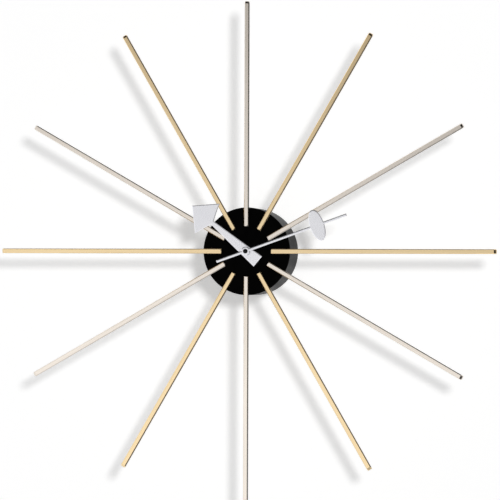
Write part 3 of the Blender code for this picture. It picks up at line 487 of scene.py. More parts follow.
def startTree(name, sizes):
    tree = bpy.data.node_groups.new(name, "GeometryNodeTree")
    kinds = {label: socketKinds[type(value)] for label, value in sizes.items()}
    for label, kind in {**kinds, "Finish": "Material"}.items():
        tree.interface.new_socket(label, in_out="INPUT", socket_type="NodeSocket" + kind)
    tree.interface.new_socket("Geometry", in_out="OUTPUT", socket_type="NodeSocketGeometry")
    return tree, tree.nodes.new("NodeGroupInput").outputs


def endTree(tree, shape, finish):
    whole = nodeOut(tree, "GeometryNodeRealizeInstances", {"Geometry": shape})
    painted = nodeOut(tree, "GeometryNodeSetMaterial", {"Geometry": whole, "Material": finish})
    tree.links.new(painted, tree.nodes.new("NodeGroupOutput").inputs[0])
    return tree


def moved(tree, shape, shift):
    return nodeOut(tree, "GeometryNodeTransform", {"Geometry": shape, "Translation": shift})


def barrel(tree, radius, back, front, vertices):
    depth = calc(tree, "SUBTRACT", front, back)
    values = {"Vertices": vertices, "Radius": radius, "Depth": depth}
    made = nodeOut(tree, "GeometryNodeMeshCylinder", values)
    return moved(tree, made, joined(tree, 0.0, 0.0, calc(tree, "MULTIPLY_ADD", depth, 0.5, back)))


def combined(tree, operation, first, *others):
    made = addNode(tree, "GeometryNodeMeshBoolean", operation=operation, solver="EXACT")
    tree.links.new(first, made.inputs[0 if operation == "DIFFERENCE" else 1])
    for other in others:
        tree.links.new(other, made.inputs[1])
    return made.outputs[0]


# copies turned clockwise about the clock's axis, each with its number
def aroundAxis(tree, shape, count, first, step):
    points = nodeOut(tree, "GeometryNodePoints", {"Count": count})
    number = nodeOut(tree, "GeometryNodeInputIndex")
    turn = calc(tree, "MULTIPLY", calc(tree, "MULTIPLY_ADD", number, step, first), -1.0)
    turn = nodeOut(tree, "FunctionNodeEulerToRotation", {0: joined(tree, 0.0, 0.0, turn)})
    values = {"Points": points, "Instance": shape, "Rotation": turn}
    copies = nodeOut(tree, "GeometryNodeInstanceOnPoints", values)
    return nodeOut(
        tree, "GeometryNodeStoreNamedAttribute", {"Geometry": copies, "Name": "copyNumber", "Value": number},
        data_type="FLOAT", domain="INSTANCE",
    )


def grownMesh(tree, sizes, finish):
    helper = linked(tree.name, bpy.data.meshes.new(tree.name))
    modifier = helper.modifiers.new("shape", "NODES")
    modifier.node_group = tree
    values = {**sizes, "Finish": finishes[finish]}
    for item in tree.interface.items_tree:
        if item.in_out == "INPUT":
            modifier[item.identifier] = values[item.name]
    mesh = evaluated(helper)
    helper.modifiers.remove(modifier)
    bpy.data.objects.remove(helper, do_unlink=True)
    mesh.shade_smooth()
    mesh.set_sharp_from_angle(angle=smoothAngle)
    return mesh


# rods: square bars laid out from the centre, with the front corner of the tip cut off; each starts as a block
# one long and two high, whose corners are then put in place
def rodTree(sizes):
    tree, size = startTree("rodTree", sizes)
    bar = nodeOut(tree, "GeometryNodeMeshCube", {
        "Size": joined(tree, size["Width"], 1.0, 2.0), "Vertices Z": 3,
    })
    x, y, z = parted(tree, nodeOut(tree, "GeometryNodeInputPosition"))
    outer = calc(tree, "GREATER_THAN", y, 0.0)
    atFront = calc(tree, "GREATER_THAN", z, 0.5)
    pastBack = calc(tree, "GREATER_THAN", z, -0.5)
    cut = calc(tree, "MULTIPLY", size["Tip slope"], calc(tree, "MULTIPLY", outer, atFront))
    length = calc(tree, "SUBTRACT", size["Tip radius"], size["Inner radius"])
    reach = calc(tree, "SUBTRACT", calc(tree, "MULTIPLY_ADD", outer, length, size["Inner radius"]), cut)
    shoulder = calc(tree, "SUBTRACT", size["Height"], size["Tip drop"])
    rise = calc(tree, "MULTIPLY_ADD", pastBack, shoulder, size["Back"])
    rise = calc(tree, "MULTIPLY_ADD", atFront, size["Tip drop"], rise)
    place = joined(tree, x, reach, rise)
    bar = nodeOut(tree, "GeometryNodeSetPosition", {"Geometry": bar, "Position": place})
    spot = nodeOut(tree, "GeometryNodeInputPosition")
    bar = nodeOut(
        tree, "GeometryNodeStoreNamedAttribute", {"Geometry": bar, "Name": "rodSpace", "Value": spot},
        data_type="FLOAT_VECTOR", domain="POINT",
    )
    rods = aroundAxis(tree, bar, size["Rods"], size["First angle"], size["Angle step"])
    return endTree(tree, rods, size["Finish"])


rodSizes = {
    "Rods": 6, "First angle": math.radians(hourStep), "Angle step": math.radians(2 * hourStep),
    "Inner radius": 30.4 * mm, "Tip radius": 305 * mm, "Width": 5.8 * mm, "Height": 5.8 * mm,
    "Tip slope": 3.2 * mm, "Tip drop": 2.35 * mm, "Back": 67.3 * mm,
}
rodEdge = 0.9 * mm
spokes = rodTree(rodSizes)
for name, finish, slot, firstHour in (
    ("brassRods", "rodBrass", "rod_brass", 1),
    ("aluminiumRods", "rodAluminium", "rod_aluminium", 2),
):
    sizes = {**rodSizes, "First angle": math.radians(hourStep * firstHour)}
    replaced = [f"rod_{hour:02d}" for hour in hours[firstHour - 1::2]]
    addPiece(name, grownMesh(spokes, sizes, finish), finish, replaced, rodEdge, segments=1)
print("rods: 12 square bars")


# drum: a turned cup with a milled seat for each rod and a drilled hole for its screw
drumSizes = {
    "radius": 53.5 * mm, "depth": 68 * mm, "wall": 2 * mm, "face": 3 * mm, "rim": 0.8 * mm,
    "rearRim": 0.4 * mm, "inside": 1.2 * mm, "hole": 4.3 * mm, "seatFrom": 30.1 * mm, "seatTo": 58 * mm,
    "seatWidth": 6.4 * mm, "seatFloor": 67 * mm, "drill": 1.45 * mm, "drillCircle": 41.95 * mm, "steps": 192,
}


def drumMesh(size):
    radius, depth, inner = size["radius"], size["depth"], size["radius"] - size["wall"]
    faceBack = depth - size["face"]
    rim, rear, inside = size["rim"], size["rearRim"], size["inside"]
    profile = [
        (size["hole"], depth),
        *arc((radius - rim, depth - rim), rim, 90, 0, steps=6),
        *arc((radius - rear, rear), rear, 0, -90, steps=3),
        *arc((inner + rear, rear), rear, -90, -180, steps=3),
        *arc((inner - inside, faceBack - inside), inside, 0, 90, steps=4),
        (size["hole"], faceBack),
    ]
    half = size["seatWidth"] / 2
    seats, drills = [], []
    for hour in range(len(hours)):
        turn = Matrix.Rotation(math.radians(hourStep * hour), 4, "Z")
        seat = blockMesh((-half, size["seatFrom"], size["seatFloor"]), (half, size["seatTo"], depth + half))
        seat.transform(turn)
        seats.append(seat)
        drill = pinMesh(size["drill"], faceBack - half, depth, sides["drill"])
        drill.transform(turn @ Matrix.Translation((0, size["drillCircle"], 0)))
        drills.append(drill)
    cup = turnedMesh(profile, size["steps"])
    return shaped(cup, ("DIFFERENCE", together(seats)), ("DIFFERENCE", together(drills)))


# flat black on the face; round the side and rear rim a paler black whose extra brightness is a painted sheen;
# and a grey primer inside
def paintDrum(drum, size):
    paint(drum.data, "drumPaint", "drumSidePaintedSheen", "drumPrimer")
    inner, faceBack = size["radius"] - size["wall"], size["depth"] - size["face"]
    for face in drum.data.polygons:
        reach, height = math.hypot(face.center.x, face.center.z), -face.center.y
        inside = reach < inner + weld and height < faceBack + weld
        side = reach > size["radius"] - size["rim"] / 2 or height < size["rearRim"]
        face.material_index = 2 if inside else 1 if side else 0


drumCup = addPiece("drumCup", drumMesh(drumSizes), "drumPaint", ["drum"])
paintDrum(drumCup, drumSizes)
print("drum: turned, milled and drilled")


# hands: bevelled metal sheet with a collet behind
hourHandSizes = {
    "angle": 309.8, "length": 86.5 * mm, "headAt": 62.2 * mm, "headWidth": 47 * mm, "neckAt": 54 * mm,
    "neckWidth": 5 * mm, "tail": 19.4 * mm, "tailWidth": 16 * mm, "back": 74.3 * mm, "thickness": 1 * mm,
    "bevel": 0.9 * mm, "drop": 0.45 * mm, "bore": 2.8 * mm, "collet": 4.1 * mm, "colletBack": 73.1 * mm,
}
minuteHandSizes = {
    "angle": 70.3, "length": 131.5 * mm, "tail": 37.8 * mm, "width": 3.2 * mm, "ovalAt": 93.3 * mm,
    "ovalLength": 17.7 * mm, "ovalWidth": 39 * mm, "boss": 5.3 * mm, "back": 77.1 * mm, "thickness": 1 * mm,
    "bevel": 0.95 * mm, "drop": 0.55 * mm, "bore": 1.3 * mm, "collet": 2.6 * mm, "colletBack": 75.9 * mm,
}


def mirrored(rightSide):
    return rightSide + [(-x, y) for x, y in reversed(rightSide) if x]


# an anticlockwise outline drawn in evenly, with a limit to how far a sharp corner moves
def drawnIn(outline, distance, limit=0.3):
    points = [Vector(point) for point in outline]
    result = []
    for before, here, after in zip(points[-1:] + points[:-1], points, points[1:] + points[:1]):
        first, second = (here - before).normalized(), (after - here).normalized()
        inward = Vector((-first.y - second.y, first.x + second.x)).normalized()
        result.append(here + inward * distance / max(inward.dot(Vector((-first.y, first.x))), limit))
    return result


# sheet with a flat front and a sloping bevel round it
def bevelledPlate(outline, back, front, bevel, drop):
    shape = bmesh.new()
    rings = []
    for points, height in ((outline, back), (outline, front - drop), (drawnIn(outline, bevel), front)):
        rings.append([shape.verts.new((*point, height)) for point in points])
    shape.faces.new(reversed(rings[0]))
    shape.faces.new(rings[2])
    for first, second in zip(rings, rings[1:]):
        for i in range(len(first)):
            shape.faces.new((first[i - 1], first[i], second[i], second[i - 1]))
    return tidied(shape, "plate")


def handMesh(rightSide, size):
    front = size["back"] + size["thickness"]
    plate = bevelledPlate(mirrored(rightSide), size["back"], front, size["bevel"], size["drop"])
    collet = pinMesh(size["collet"], size["colletBack"], size["back"] + size["thickness"] / 2)
    over, under = front + size["thickness"], size["colletBack"] - size["thickness"]
    bore = pinMesh(size["bore"], under, over, sides["bore"])
    mesh = shaped(plate, ("UNION", collet), ("DIFFERENCE", bore))
    mesh.set_sharp_from_angle(angle=handCrease)
    mesh.transform(Matrix.Rotation(-math.radians(size["angle"]), 4, "Z"))
    return mesh


def hourOutline(size):
    return [
        (size["tailWidth"] / 2, -size["tail"]), (size["neckWidth"] / 2, size["neckAt"]),
        (size["headWidth"] / 2, size["headAt"]), (0, size["length"]),
    ]


# the right side of an oval on a stick, from where it leaves the stick to where it rejoins it
def bulge(middle, halfWidth, halfLength, stick, steps):
    start = math.acos(stick / halfWidth)
    turns = [start * (2 * i / steps - 1) for i in range(steps + 1)]
    return [(halfWidth * math.cos(t), middle + halfLength * math.sin(t)) for t in turns]


def minuteOutline(size):
    stick = size["width"] / 2
    boss = bulge(0, size["boss"], size["boss"], stick, steps=24)
    oval = bulge(size["ovalAt"], size["ovalWidth"] / 2, size["ovalLength"] / 2, stick, steps=56)
    return [(stick, -size["tail"]), *boss, *oval, (stick, size["length"])]


for name, outline, sizes, body, node in (
    ("hourHand", hourOutline, hourHandSizes, "hour_set", "hour_hand"),
    ("minuteHand", minuteOutline, minuteHandSizes, "minute_set", "minute_hand"),
):
    addPiece(name, handMesh(outline(sizes), sizes), "handMetal", [node], body=body)
print("hands: hour and minute")

# cap nut: a low polished dome over a plain skirt
capSizes = {
    "radius": 2.8 * mm, "back": 78.4 * mm, "skirt": 0.9 * mm, "front": 80.8 * mm, "bore": 1.3 * mm,
    "boreFront": 79.9 * mm, "edge": 0.15 * mm, "domeSteps": 12,
}


# the end of a profile that has a blind hole bored from behind
def boreEnd(size):
    return [(size["bore"], size["back"]), (size["bore"], size["boreFront"]), (0, size["boreFront"])]


def capMesh(size):
    radius, back, edge, steps = size["radius"], size["back"], size["edge"], size["domeSteps"]
    base = back + size["skirt"]
    rise = size["front"] - base
    turns = [math.pi / 2 * (1 - i / steps) for i in range(steps + 1)]
    dome = [(radius * math.cos(t), base + rise * math.sin(t)) for t in turns]
    dome[0] = (0, size["front"])
    return turnedMesh([*dome, (radius, back + edge), (radius - edge, back), *boreEnd(size)])


addPiece("capNut", capMesh(capSizes), "glossBlack", ["hand_cap_nut"], body="minute_set")


# screws: a head of a rim and a cone, a shank, and a cross recess; all point off the wall
def screwTree(sizes):
    tree, size = startTree("screwTree", sizes)
    rim = barrel(tree, size["Head radius"], size["Rim back"], size["Rim front"], sides["screw"])
    shank = barrel(tree, size["Shank radius"], size["Rim back"], size["Shank front"], sides["screw"])
    slope = calc(tree, "SUBTRACT", size["Cone end"], size["Rim front"])
    cone = nodeOut(tree, "GeometryNodeMeshCone", {
        "Vertices": sides["screw"], "Depth": slope,
        "Radius Top": size["Cone end radius"], "Radius Bottom": size["Head radius"],
    })
    cone = moved(tree, cone, joined(tree, 0.0, 0.0, size["Rim front"]))
    whole = combined(tree, "UNION", rim, cone, shank)
    deep = calc(tree, "MULTIPLY", size["Recess depth"], 2.0)
    recess = []
    narrow, wide = size["Recess width"], size["Recess length"]
    for width, length in ((narrow, wide), (wide, narrow)):
        slot = nodeOut(tree, "GeometryNodeMeshCube", {"Size": joined(tree, width, length, deep)})
        recess.append(moved(tree, slot, joined(tree, 0.0, 0.0, size["Recess back"])))
    whole = combined(tree, "DIFFERENCE", whole, *recess)
    placed = moved(tree, whole, joined(tree, 0.0, size["Circle"], 0.0))
    return endTree(tree, aroundAxis(tree, placed, size["Screws"], 0.0, size["Angle step"]), size["Finish"])


rodScrewSizes = {
    "Screws": 12, "Angle step": math.radians(hourStep), "Circle": 41.95 * mm, "Head radius": 2.4 * mm,
    "Cone end radius": 1.7 * mm, "Rim back": 64.7 * mm, "Rim front": 64.0 * mm, "Cone end": 63.1 * mm,
    "Shank radius": 1.25 * mm, "Shank front": 70.3 * mm, "Recess back": 63.1 * mm, "Recess depth": 0.8 * mm,
    "Recess width": 0.5 * mm, "Recess length": 2.1 * mm,
}
pillarScrewSizes = {
    "Screws": 2, "Angle step": math.radians(180), "Circle": 33.9 * mm, "Head radius": 3.2 * mm,
    "Cone end radius": 1.5 * mm, "Rim back": 0.0, "Rim front": 0.3 * mm, "Cone end": 2.0 * mm,
    "Shank radius": 1.5 * mm, "Shank front": 8.8 * mm, "Recess back": 0.0, "Recess depth": 1.2 * mm,
    "Recess width": 0.8 * mm, "Recess length": 3.6 * mm,
}
fixings = screwTree(rodScrewSizes)
for name, sizes, replaced in (
    ("rodScrews", rodScrewSizes, [f"rod_screw_{hour:02d}" for hour in hours]),
    ("pillarScrews", pillarScrewSizes, ["pillar_screw_upper", "pillar_screw_lower"]),
):
    addPiece(name, grownMesh(fixings, sizes, "zincSteel"), "zincSteel", replaced)
print("screws: 12 in the drum, 2 in the hanger")


# hanger: a stamped strip on two turned pillars
softened("hanger_strip", "hangerStrip", "zincSteel", 0.35 * mm)
pillarSizes = {
    "at": 33.9 * mm, "radius": 3 * mm, "back": 2.8 * mm, "front": 64.7 * mm, "edge": 0.35 * mm,
    "bore": 1.8 * mm, "boreFront": 9.1 * mm,
}


def pillarMesh(size):
    radius, back, front, edge = size["radius"], size["back"], size["front"], size["edge"]
    profile = [
        (0, front), (radius - edge, front), (radius, front - edge), (radius, back + edge),
        (radius - edge, back), *boreEnd(size),
    ]
    pair = []
    for at in (size["at"], -size["at"]):
        pair.append(turnedMesh(profile, sides["bore"]))
        pair[-1].transform(Matrix.Translation((0, at, 0)))
    return together(pair)


addPiece("hangerPillars", pillarMesh(pillarSizes), "zincSteel", ["pillar_upper", "pillar_lower"])
print("hanger: strip and pillars")

# movement: moulded case and cover, and the nut that holds its neck
softened("movement_case", "movementCase", "blackMoulding", 0.25 * mm)
softened("movement_cover", "movementCover", "blackMoulding", 0.2 * mm)
softened("neck_nut", "neckNut", "glossBlack", 0.25 * mm)
for contact in ("positive", "negative"):
    softened("contact_" + contact, contact + "Contact", "zincSteel", 0.1 * mm)

# marks raised on the cover: a rib round its edge, a collar and two arrows round the knob, signs by the cell
coverSizes = {
    "left": -25.2 * mm, "right": 8.3 * mm, "half": 25.4 * mm, "corner": 2 * mm, "rib": 0.8 * mm,
    "face": 45.35 * mm, "rise": 0.6 * mm, "edge": 0.15 * mm, "knobSpot": (-17.318 * mm, -7.173 * mm),
    "collar": (5.7 * mm, 6.6 * mm), "collarRise": 1.6 * mm, "arrow": (7.3 * mm, 8.1 * mm),
    "arrowHead": 0.7 * mm, "arrowTurns": ((35, 100), (215, 280)), "signSpot": (4.2 * mm, 21.0 * mm),
    "sign": 1.7 * mm, "signWidth": 0.45 * mm,
}


def roundedBox(left, low, right, high, corner, steps=6):
    left, low, right, high = left + corner, low + corner, right - corner, high - corner
    middles = ((right, high, 0), (left, high, 90), (left, low, 180), (right, low, 270))
    return [point for x, y, start in middles for point in arc((x, y), corner, start, start + 90, steps)]


# a bent arrow, whose point is three times as long as its head is wide on each side
def arrowOutline(middle, inner, outer, head, start, end, steps=14):
    tip = end + math.degrees(3 * head / outer)
    return [
        *arc(middle, outer, start, end, steps), onCircle(middle, outer + head, end),
        onCircle(middle, (inner + outer) / 2, tip), onCircle(middle, inner - head, end),
        *arc(middle, inner, end, start, steps),
    ]


def coverMarks(size):
    back, face, edge = size["face"] - size["rise"], size["face"], size["edge"]
    left, right, half, rib = size["left"], size["right"], size["half"], size["rib"]
    outer = roundedBox(left, -half, right, half, size["corner"])
    inner = roundedBox(left + rib, -half + rib, right - rib, half - rib, size["corner"] - rib)
    parts = [plateMesh([outer, inner], back, face, edge)]
    low, high = size["collar"]
    top = face - size["collarRise"]
    inside, outside = [(low, face), (low, top + edge)], [(high, top + edge), (high, face)]
    collar = turnedMesh([*inside, (low + edge, top), (high - edge, top), *outside], sides["collar"])
    collar.transform(Matrix.Translation((*size["knobSpot"], 0)))
    parts.append(collar)
    for start, end in size["arrowTurns"]:
        outline = arrowOutline(size["knobSpot"], *size["arrow"], size["arrowHead"], start, end)
        parts.append(plateMesh([outline], back, face, edge))
    x, y = size["signSpot"]
    reach, bar = size["sign"], size["signWidth"]
    arm, plus = [(reach, -bar), (reach, bar), (bar, bar)], []
    for quarter in range(4):
        plus += arm
        arm = [(-dy, dx) for dx, dy in arm]
    minus = [(reach, -bar), (reach, bar), (-reach, bar), (-reach, -bar)]
    for outline, at in ((plus, y), (minus, -y)):
        parts.append(plateMesh([[(x + dx, at + dy) for dx, dy in outline]], back, face, edge))
    return together(parts)


addPiece("coverMarks", coverMarks(coverSizes), "blackMoulding")


# rows of bars across the cover, and the clips along its long edges
def barRowTree(sizes):
    tree, size = startTree("barRowTree", sizes)
    bar = nodeOut(tree, "GeometryNodeMeshCube", {"Size": size["Bar"]})
    count = calc(tree, "MULTIPLY", size["Bars"], size["Rows"])
    number = nodeOut(tree, "GeometryNodeInputIndex")
    inRow = calc(tree, "MODULO", number, size["Bars"])
    row = calc(tree, "FLOOR", calc(tree, "DIVIDE", number, size["Bars"]))
    place = size["Start"]
    for step, times in ((size["Step"], inRow), (size["Row step"], row)):
        away = nodeOut(tree, "ShaderNodeVectorMath", {0: step, "Scale": times}, operation="SCALE")
        place = nodeOut(tree, "ShaderNodeVectorMath", {0: place, 1: away}, operation="ADD")
    points = nodeOut(tree, "GeometryNodePoints", {"Count": count, "Position": place})
    copies = nodeOut(tree, "GeometryNodeInstanceOnPoints", {"Points": points, "Instance": bar})
    return endTree(tree, copies, size["Finish"])


coverBarSizes = {
    "Bars": 9, "Rows": 1, "Start": (-20.5 * mm, 12.5 * mm, 45.1 * mm), "Step": (2.6 * mm, 0, 0),
    "Row step": (0, 0, 0), "Bar": (1.1 * mm, 15 * mm, 0.7 * mm),
}
clipSizes = {
    "Bars": 3, "Rows": 2, "Start": (-20 * mm, -26.7 * mm, 45.0 * mm), "Step": (11.5 * mm, 0, 0),
    "Row step": (0, 53.4 * mm, 0), "Bar": (4 * mm, 1.6 * mm, 0.9 * mm),
}
barRow = barRowTree(coverBarSizes)
for name, sizes in (("coverBars", coverBarSizes), ("coverClips", clipSizes)):
    bars = grownMesh(barRow, sizes, "blackMoulding")
    addPiece(name, bars, "blackMoulding", edge=0.18 * mm)


# setting knob: a ribbed grip, dished on the end that faces the wall, with a bar across the dish
def knobTree(sizes):
    tree, size = startTree("knobTree", sizes)
    back, front, deep, inset = size["Back"], size["Front"], size["Dish depth"], size["Rib inset"]
    core = barrel(tree, size["Core radius"], back, front, sides["knob"])
    dishEnds = (calc(tree, "SUBTRACT", back, deep), calc(tree, "ADD", back, deep))
    core = combined(tree, "DIFFERENCE", core, barrel(tree, size["Dish radius"], *dishEnds, sides["turned"]))
    across, thick = (calc(tree, "MULTIPLY", value, 2.0) for value in (size["Dish radius"], deep))
    grip = nodeOut(tree, "GeometryNodeMeshCube", {"Size": joined(tree, size["Bar width"], across, thick)})
    middle = calc(tree, "MULTIPLY_ADD", deep, size["Bar sink"], back)
    grip = moved(tree, grip, joined(tree, 0.0, 0.0, middle))
    ribEnds = (calc(tree, "ADD", back, inset), calc(tree, "SUBTRACT", front, inset))
    rib = barrel(tree, size["Rib radius"], *ribEnds, sides["rib"])
    rib = moved(tree, rib, joined(tree, 0.0, size["Core radius"], 0.0))
    ribs = aroundAxis(tree, rib, size["Ribs"], 0.0, size["Angle step"])
    ribs = nodeOut(tree, "GeometryNodeRealizeInstances", {"Geometry": ribs})
    whole = combined(tree, "UNION", core, grip, ribs)
    return endTree(tree, moved(tree, whole, size["Spot"]), size["Finish"])


knobSizes = {
    "Ribs": 24, "Angle step": math.radians(15), "Core radius": 4.65 * mm, "Rib radius": 0.35 * mm,
    "Back": 39.5 * mm, "Front": 44.5 * mm, "Rib inset": 0.4 * mm, "Dish radius": 3.4 * mm,
    "Dish depth": 0.9 * mm, "Bar width": 1.3 * mm, "Bar sink": 1.2, "Spot": (*coverSizes["knobSpot"], 0),
}
knob = grownMesh(knobTree(knobSizes), knobSizes, "blackMoulding")
addPiece("settingKnob", knob, "blackMoulding", ["setting_knob"], 0.1 * mm, body="setting_set")
print("movement: case, cover and knob")

# cell: a plain wrapped battery with bare ends, drawn upright
cellSizes = {
    "spot": (18.9 * mm, -54.35 * mm, 0), "radius": 7.25 * mm, "can": 6.85 * mm, "bottom": -25.25 * mm,
    "top": 23.95 * mm, "nub": 2.75 * mm, "nubTop": 25.25 * mm, "fold": 0.6 * mm, "edge": 0.3 * mm,
}


def cellMesh(size):
    radius, can, nub, edge, fold = size["radius"], size["can"], size["nub"], size["edge"], size["fold"]
    bottom, top, nubTop = size["bottom"], size["top"], size["nubTop"]
    profile = [
        (0, bottom + edge), (can - 4 * edge, bottom + edge), (can - 3 * edge, bottom), (can - edge, bottom),
        (can, bottom + edge), (can, bottom + fold),
        *arc((radius - edge, bottom + fold + edge), edge, -60, 0, steps=3),
        *arc((radius - edge, top - fold - edge), edge, 0, 60, steps=3),
        (can, top - fold), (can - edge, top - edge), (can - 5 * edge, top - edge / 2), (nub + 2 * edge, top),
        (nub, top + edge / 2), *arc((nub - edge, nubTop - edge), edge, 0, 90, steps=3), (0, nubTop),
    ]
    return turnedMesh(profile, sides["cell"])


cellPlace = Matrix.Translation(cellSizes["spot"])
addPiece("cell", cellMesh(cellSizes), "cellWrap", ["battery"], body="cell", stand=cellPlace)


# coil: one close layer of wire on a moulded bobbin
def coilTree(sizes):
    tree, size = startTree("coilTree", sizes)
    path = nodeOut(tree, "GeometryNodeCurveSpiral", {
        "Resolution": size["Turn steps"], "Rotations": size["Turns"], "Start Radius": size["Coil radius"],
        "End Radius": size["Coil radius"], "Height": size["Length"],
    })
    section = nodeOut(tree, "GeometryNodeCurvePrimitiveCircle", {
        "Resolution": size["Wire sides"], "Radius": size["Wire radius"],
    })
    wire = nodeOut(tree, "GeometryNodeCurveToMesh", {
        "Curve": path, "Profile Curve": section, "Fill Caps": True,
    })
    laid = nodeOut(tree, "GeometryNodeTransform", {
        "Geometry": wire, "Rotation": (0, math.pi / 2, 0), "Translation": size["Spot"],
    })
    return endTree(tree, laid, size["Finish"])


coilSizes = {
    "Turns": 80.0, "Turn steps": 18, "Wire radius": 0.11 * mm, "Wire sides": 6, "Coil radius": 3.09 * mm,
    "Length": 17.58 * mm, "Spot": (-14.94 * mm, 21.56 * mm, 55.4 * mm),
}
bobbinSizes = {
    "spot": (-15.85 * mm, 21.56 * mm, 55.4 * mm), "length": 19.4 * mm, "bore": 1.8 * mm, "core": 2.1 * mm,
    "flange": 3.5 * mm, "thick": 0.8 * mm, "edge": 0.2 * mm,
}


def bobbinMesh(size):
    bore, core, flange, thick, edge = (size[key] for key in ("bore", "core", "flange", "thick", "edge"))
    half = [
        (bore, 0), (flange - edge, 0), (flange, edge), (flange, thick - edge), (flange - edge, thick),
        (core, thick),
    ]
    otherHalf = [(radius, size["length"] - height) for radius, height in reversed(half)]
    mesh = turnedMesh(half + otherHalf, sides["bore"])
    mesh.transform(Matrix.Translation(size["spot"]) @ Matrix.Rotation(math.pi / 2, 4, "Y"))
    return mesh


wire = grownMesh(coilTree(coilSizes), coilSizes, "coilCopper")
addPiece("coilWire", wire, "coilCopper", ["coil_winding"])
addPiece("coilBobbin", bobbinMesh(bobbinSizes), "paleMoulding")
print("cell and coil")

# what is left of the CAD nodes keeps its shape and takes a finish by its slot
slotFinish = {
    "drum_enamel": "drumPaint", "hand_metal": "handMetal", "black_metal": "glossBlack", "steel": "zincSteel",
    "black_plastic": "blackMoulding", "white_plastic": "paleMoulding", "train_brass": "wheelBrass",
    "rubber": "softRubber", "copper": "coilCopper", "board": "boardGreen", "battery_wrap": "cellWrap",
    "magnet": "rotorMagnet", "rod_brass": "rodBrass", "rod_aluminium": "rodAluminium",
}
for name, item in cadNodes.items():
    paint(item.data, slotFinish[slotOf[name]])
print("carried over:", sum(not item.hide_render for item in cadNodes.values()), "nodes")

# wall: white and plain, with a glow that evens out the lamp's fall-off, and clear from behind so that the
# back of the clock can be looked at
wallLook = {
    "size": 14.0, "gap": 0.6 * mm, "hole": 51 * mm, "colour": grey(0.78), "lampWay": (0.352, 0.0, 0.191),
    "evenOver": (-0.17, 0.17), "glow": (0.505, 0.421),
}


def mirrorRay(tree, path):
    return calc(tree, "MAXIMUM", path["Is Glossy Ray"], path["Is Transmission Ray"])


def wallFinish(look):
    material = bpy.data.materials.new("wallPaint")
    material.use_nodes = True
    tree = material.node_tree
    tree.nodes.clear()
    path = addNode(tree, "ShaderNodeLightPath").outputs
    seen = calc(tree, "MAXIMUM", path["Is Camera Ray"], mirrorRay(tree, path))
    paint = nodeOut(tree, "ShaderNodeBsdfDiffuse", {"Color": look["colour"]})
    lean = measured(tree, "DOT_PRODUCT", onPiece(tree), look["lampWay"])
    level = ranged(tree, lean, *look["evenOver"], *look["glow"], "LINEAR")
    glow = nodeOut(tree, "ShaderNodeEmission", {"Strength": calc(tree, "MULTIPLY", seen, level)})
    front = nodeOut(tree, "ShaderNodeAddShader", {0: paint, 1: glow})
    clear = nodeOut(tree, "ShaderNodeBsdfTransparent")
    behind = addNode(tree, "ShaderNodeNewGeometry").outputs["Backfacing"]
    both = nodeOut(tree, "ShaderNodeMixShader", {0: behind, 1: front, 2: clear})
    tree.links.new(both, addNode(tree, "ShaderNodeOutputMaterial").inputs["Surface"])
    return material


def addWall(look):
    steps = sides["wall"]
    points = []
    for reach in (look["hole"], look["size"] / 2):
        points += [(x, look["gap"], z) for x, z in arc((0, 0), reach, 0, 360, steps)[:-1]]
    pairs = [(i, (i + 1) % steps) for i in range(steps)]
    faces = [(i, steps + i, steps + j, j) for i, j in pairs]
    mesh = bpy.data.meshes.new("wall")
    mesh.from_pydata(points, [], faces)
    mesh.materials.append(wallFinish(look))
    wall = linked("wall", mesh)
    wall.visible_shadow = False


addWall(wallLook)

# studio: pale in front and below, darker above, with side walls that are dark but for the lower left, and dim
# behind the clock; the stops give the level against the lean towards the bright side
studioLook = {
    "frontWay": (-0.3, 0.0, -0.95),
    "frontStops": (
        (-1.0, 0.45), (-0.3, 0.4), (-0.05, 0.35), (0.06, 1.15), (0.16, 1.2), (0.4, 1.0), (1.0, 0.95),
    ),
    "wallWay": (-0.75, 0.0, -0.66), "wallStops": ((0.2, 0.02), (0.42, 1.0)), "walls": (-0.62, -0.4),
    "rear": (0.5, 0.9), "behind": 0.6, "soft": 0.15,
}


# levels at stops of a lean that runs from -1 to 1, which a ramp takes as 0 to 1
def stepped(tree, value, stops):
    half = 0.5
    made = addNode(tree, "ShaderNodeValToRGB", {"Fac": calc(tree, "MULTIPLY_ADD", value, half, half)})
    elements = made.color_ramp.elements
    while len(elements) < len(stops):
        elements.new(half)
    for element, (lean, level) in zip(elements, stops):
        element.position = lean * half + half
        element.color = grey(level)
    return made.outputs["Color"]


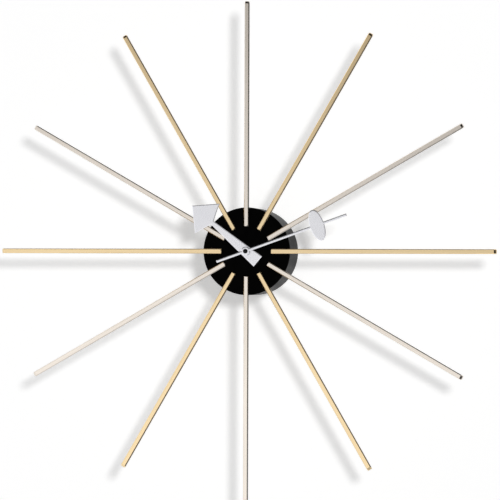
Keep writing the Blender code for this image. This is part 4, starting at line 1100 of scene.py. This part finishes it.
def addStudio(look):
    world = bpy.data.worlds.new("studio")
    bpy.context.scene.world = world
    world.use_nodes = True
    tree = world.node_tree
    tree.nodes.clear()
    way = addNode(tree, "ShaderNodeTexCoord").outputs["Generated"]
    depth = parted(tree, way)[1]
    front = stepped(tree, measured(tree, "DOT_PRODUCT", way, look["frontWay"]), look["frontStops"])
    walls = stepped(tree, measured(tree, "DOT_PRODUCT", way, look["wallWay"]), look["wallStops"])
    shine = mixed(tree, ranged(tree, depth, *look["walls"]), front, walls)
    shine = mixed(tree, ranged(tree, depth, *look["rear"]), shine, grey(look["behind"]))
    path = addNode(tree, "ShaderNodeLightPath").outputs
    level = mixed(tree, mirrorRay(tree, path), grey(look["soft"]), shine)
    level = mixed(tree, path["Is Camera Ray"], level, grey(1))
    sky = nodeOut(tree, "ShaderNodeBackground", {"Color": level})
    tree.links.new(sky, addNode(tree, "ShaderNodeOutputWorld").inputs["Surface"])


addStudio(studioLook)

# lamps: a key from the upper right in front, and a broad soft panel behind for the back of the clock
lamps = {
    "keyLamp": {"way": (0.352, -0.916, 0.191), "far": 5.0, "size": 0.85, "watts": 146.0},
    "rearPanel": {"way": (-0.45, 0.75, 0.5), "far": 3.0, "size": 1.6, "watts": 110.0},
}
for name, look in lamps.items():
    light = bpy.data.lights.new(name, "AREA")
    light.shape = "DISK"
    light.size = look["size"]
    light.energy = look["watts"]
    lamp = linked(name, light)
    way = Vector(look["way"]).normalized()
    lamp.location = way * look["far"]
    lamp.rotation_euler = way.to_track_quat("Z", "Y").to_euler()
    lamp.visible_camera = False
    lamp.visible_glossy = False
print("wall, studio and", len(lamps), "lamps")

# camera: a long lens a little to the right of the clock's axis
cameraLook = {
    "azimuth": 9.2, "elevation": -0.6, "roll": 0.2, "far": 3.8, "focus": (0, -69.8 * mm, 0), "sensor": 36.0,
    "frameWidth": 0.609, "offset": (4.4 * mm, 1.5 * mm), "clipEnd": 50.0,
}


def addCamera(look):
    data = bpy.data.cameras.new("camera")
    data.sensor_width = look["sensor"]
    data.lens = look["sensor"] * look["far"] / look["frameWidth"]
    data.clip_end = look["clipEnd"]
    camera = linked("camera", data)
    turn, lift = math.radians(look["azimuth"]), math.radians(look["elevation"])
    back = Vector((math.sin(turn) * math.cos(lift), -math.cos(turn) * math.cos(lift), math.sin(lift)))
    roll = Matrix.Rotation(math.radians(look["roll"]), 3, "Z")
    facing = (-back).to_track_quat("-Z", "Y").to_matrix() @ roll
    aim = Vector(look["focus"]) + facing @ Vector((*look["offset"], 0))
    camera.matrix_world = Matrix.Translation(aim + back * look["far"]) @ facing.to_4x4()
    bpy.context.scene.camera = camera


addCamera(cameraLook)
bpy.context.scene.view_settings.view_transform = "Standard"
print("camera set")
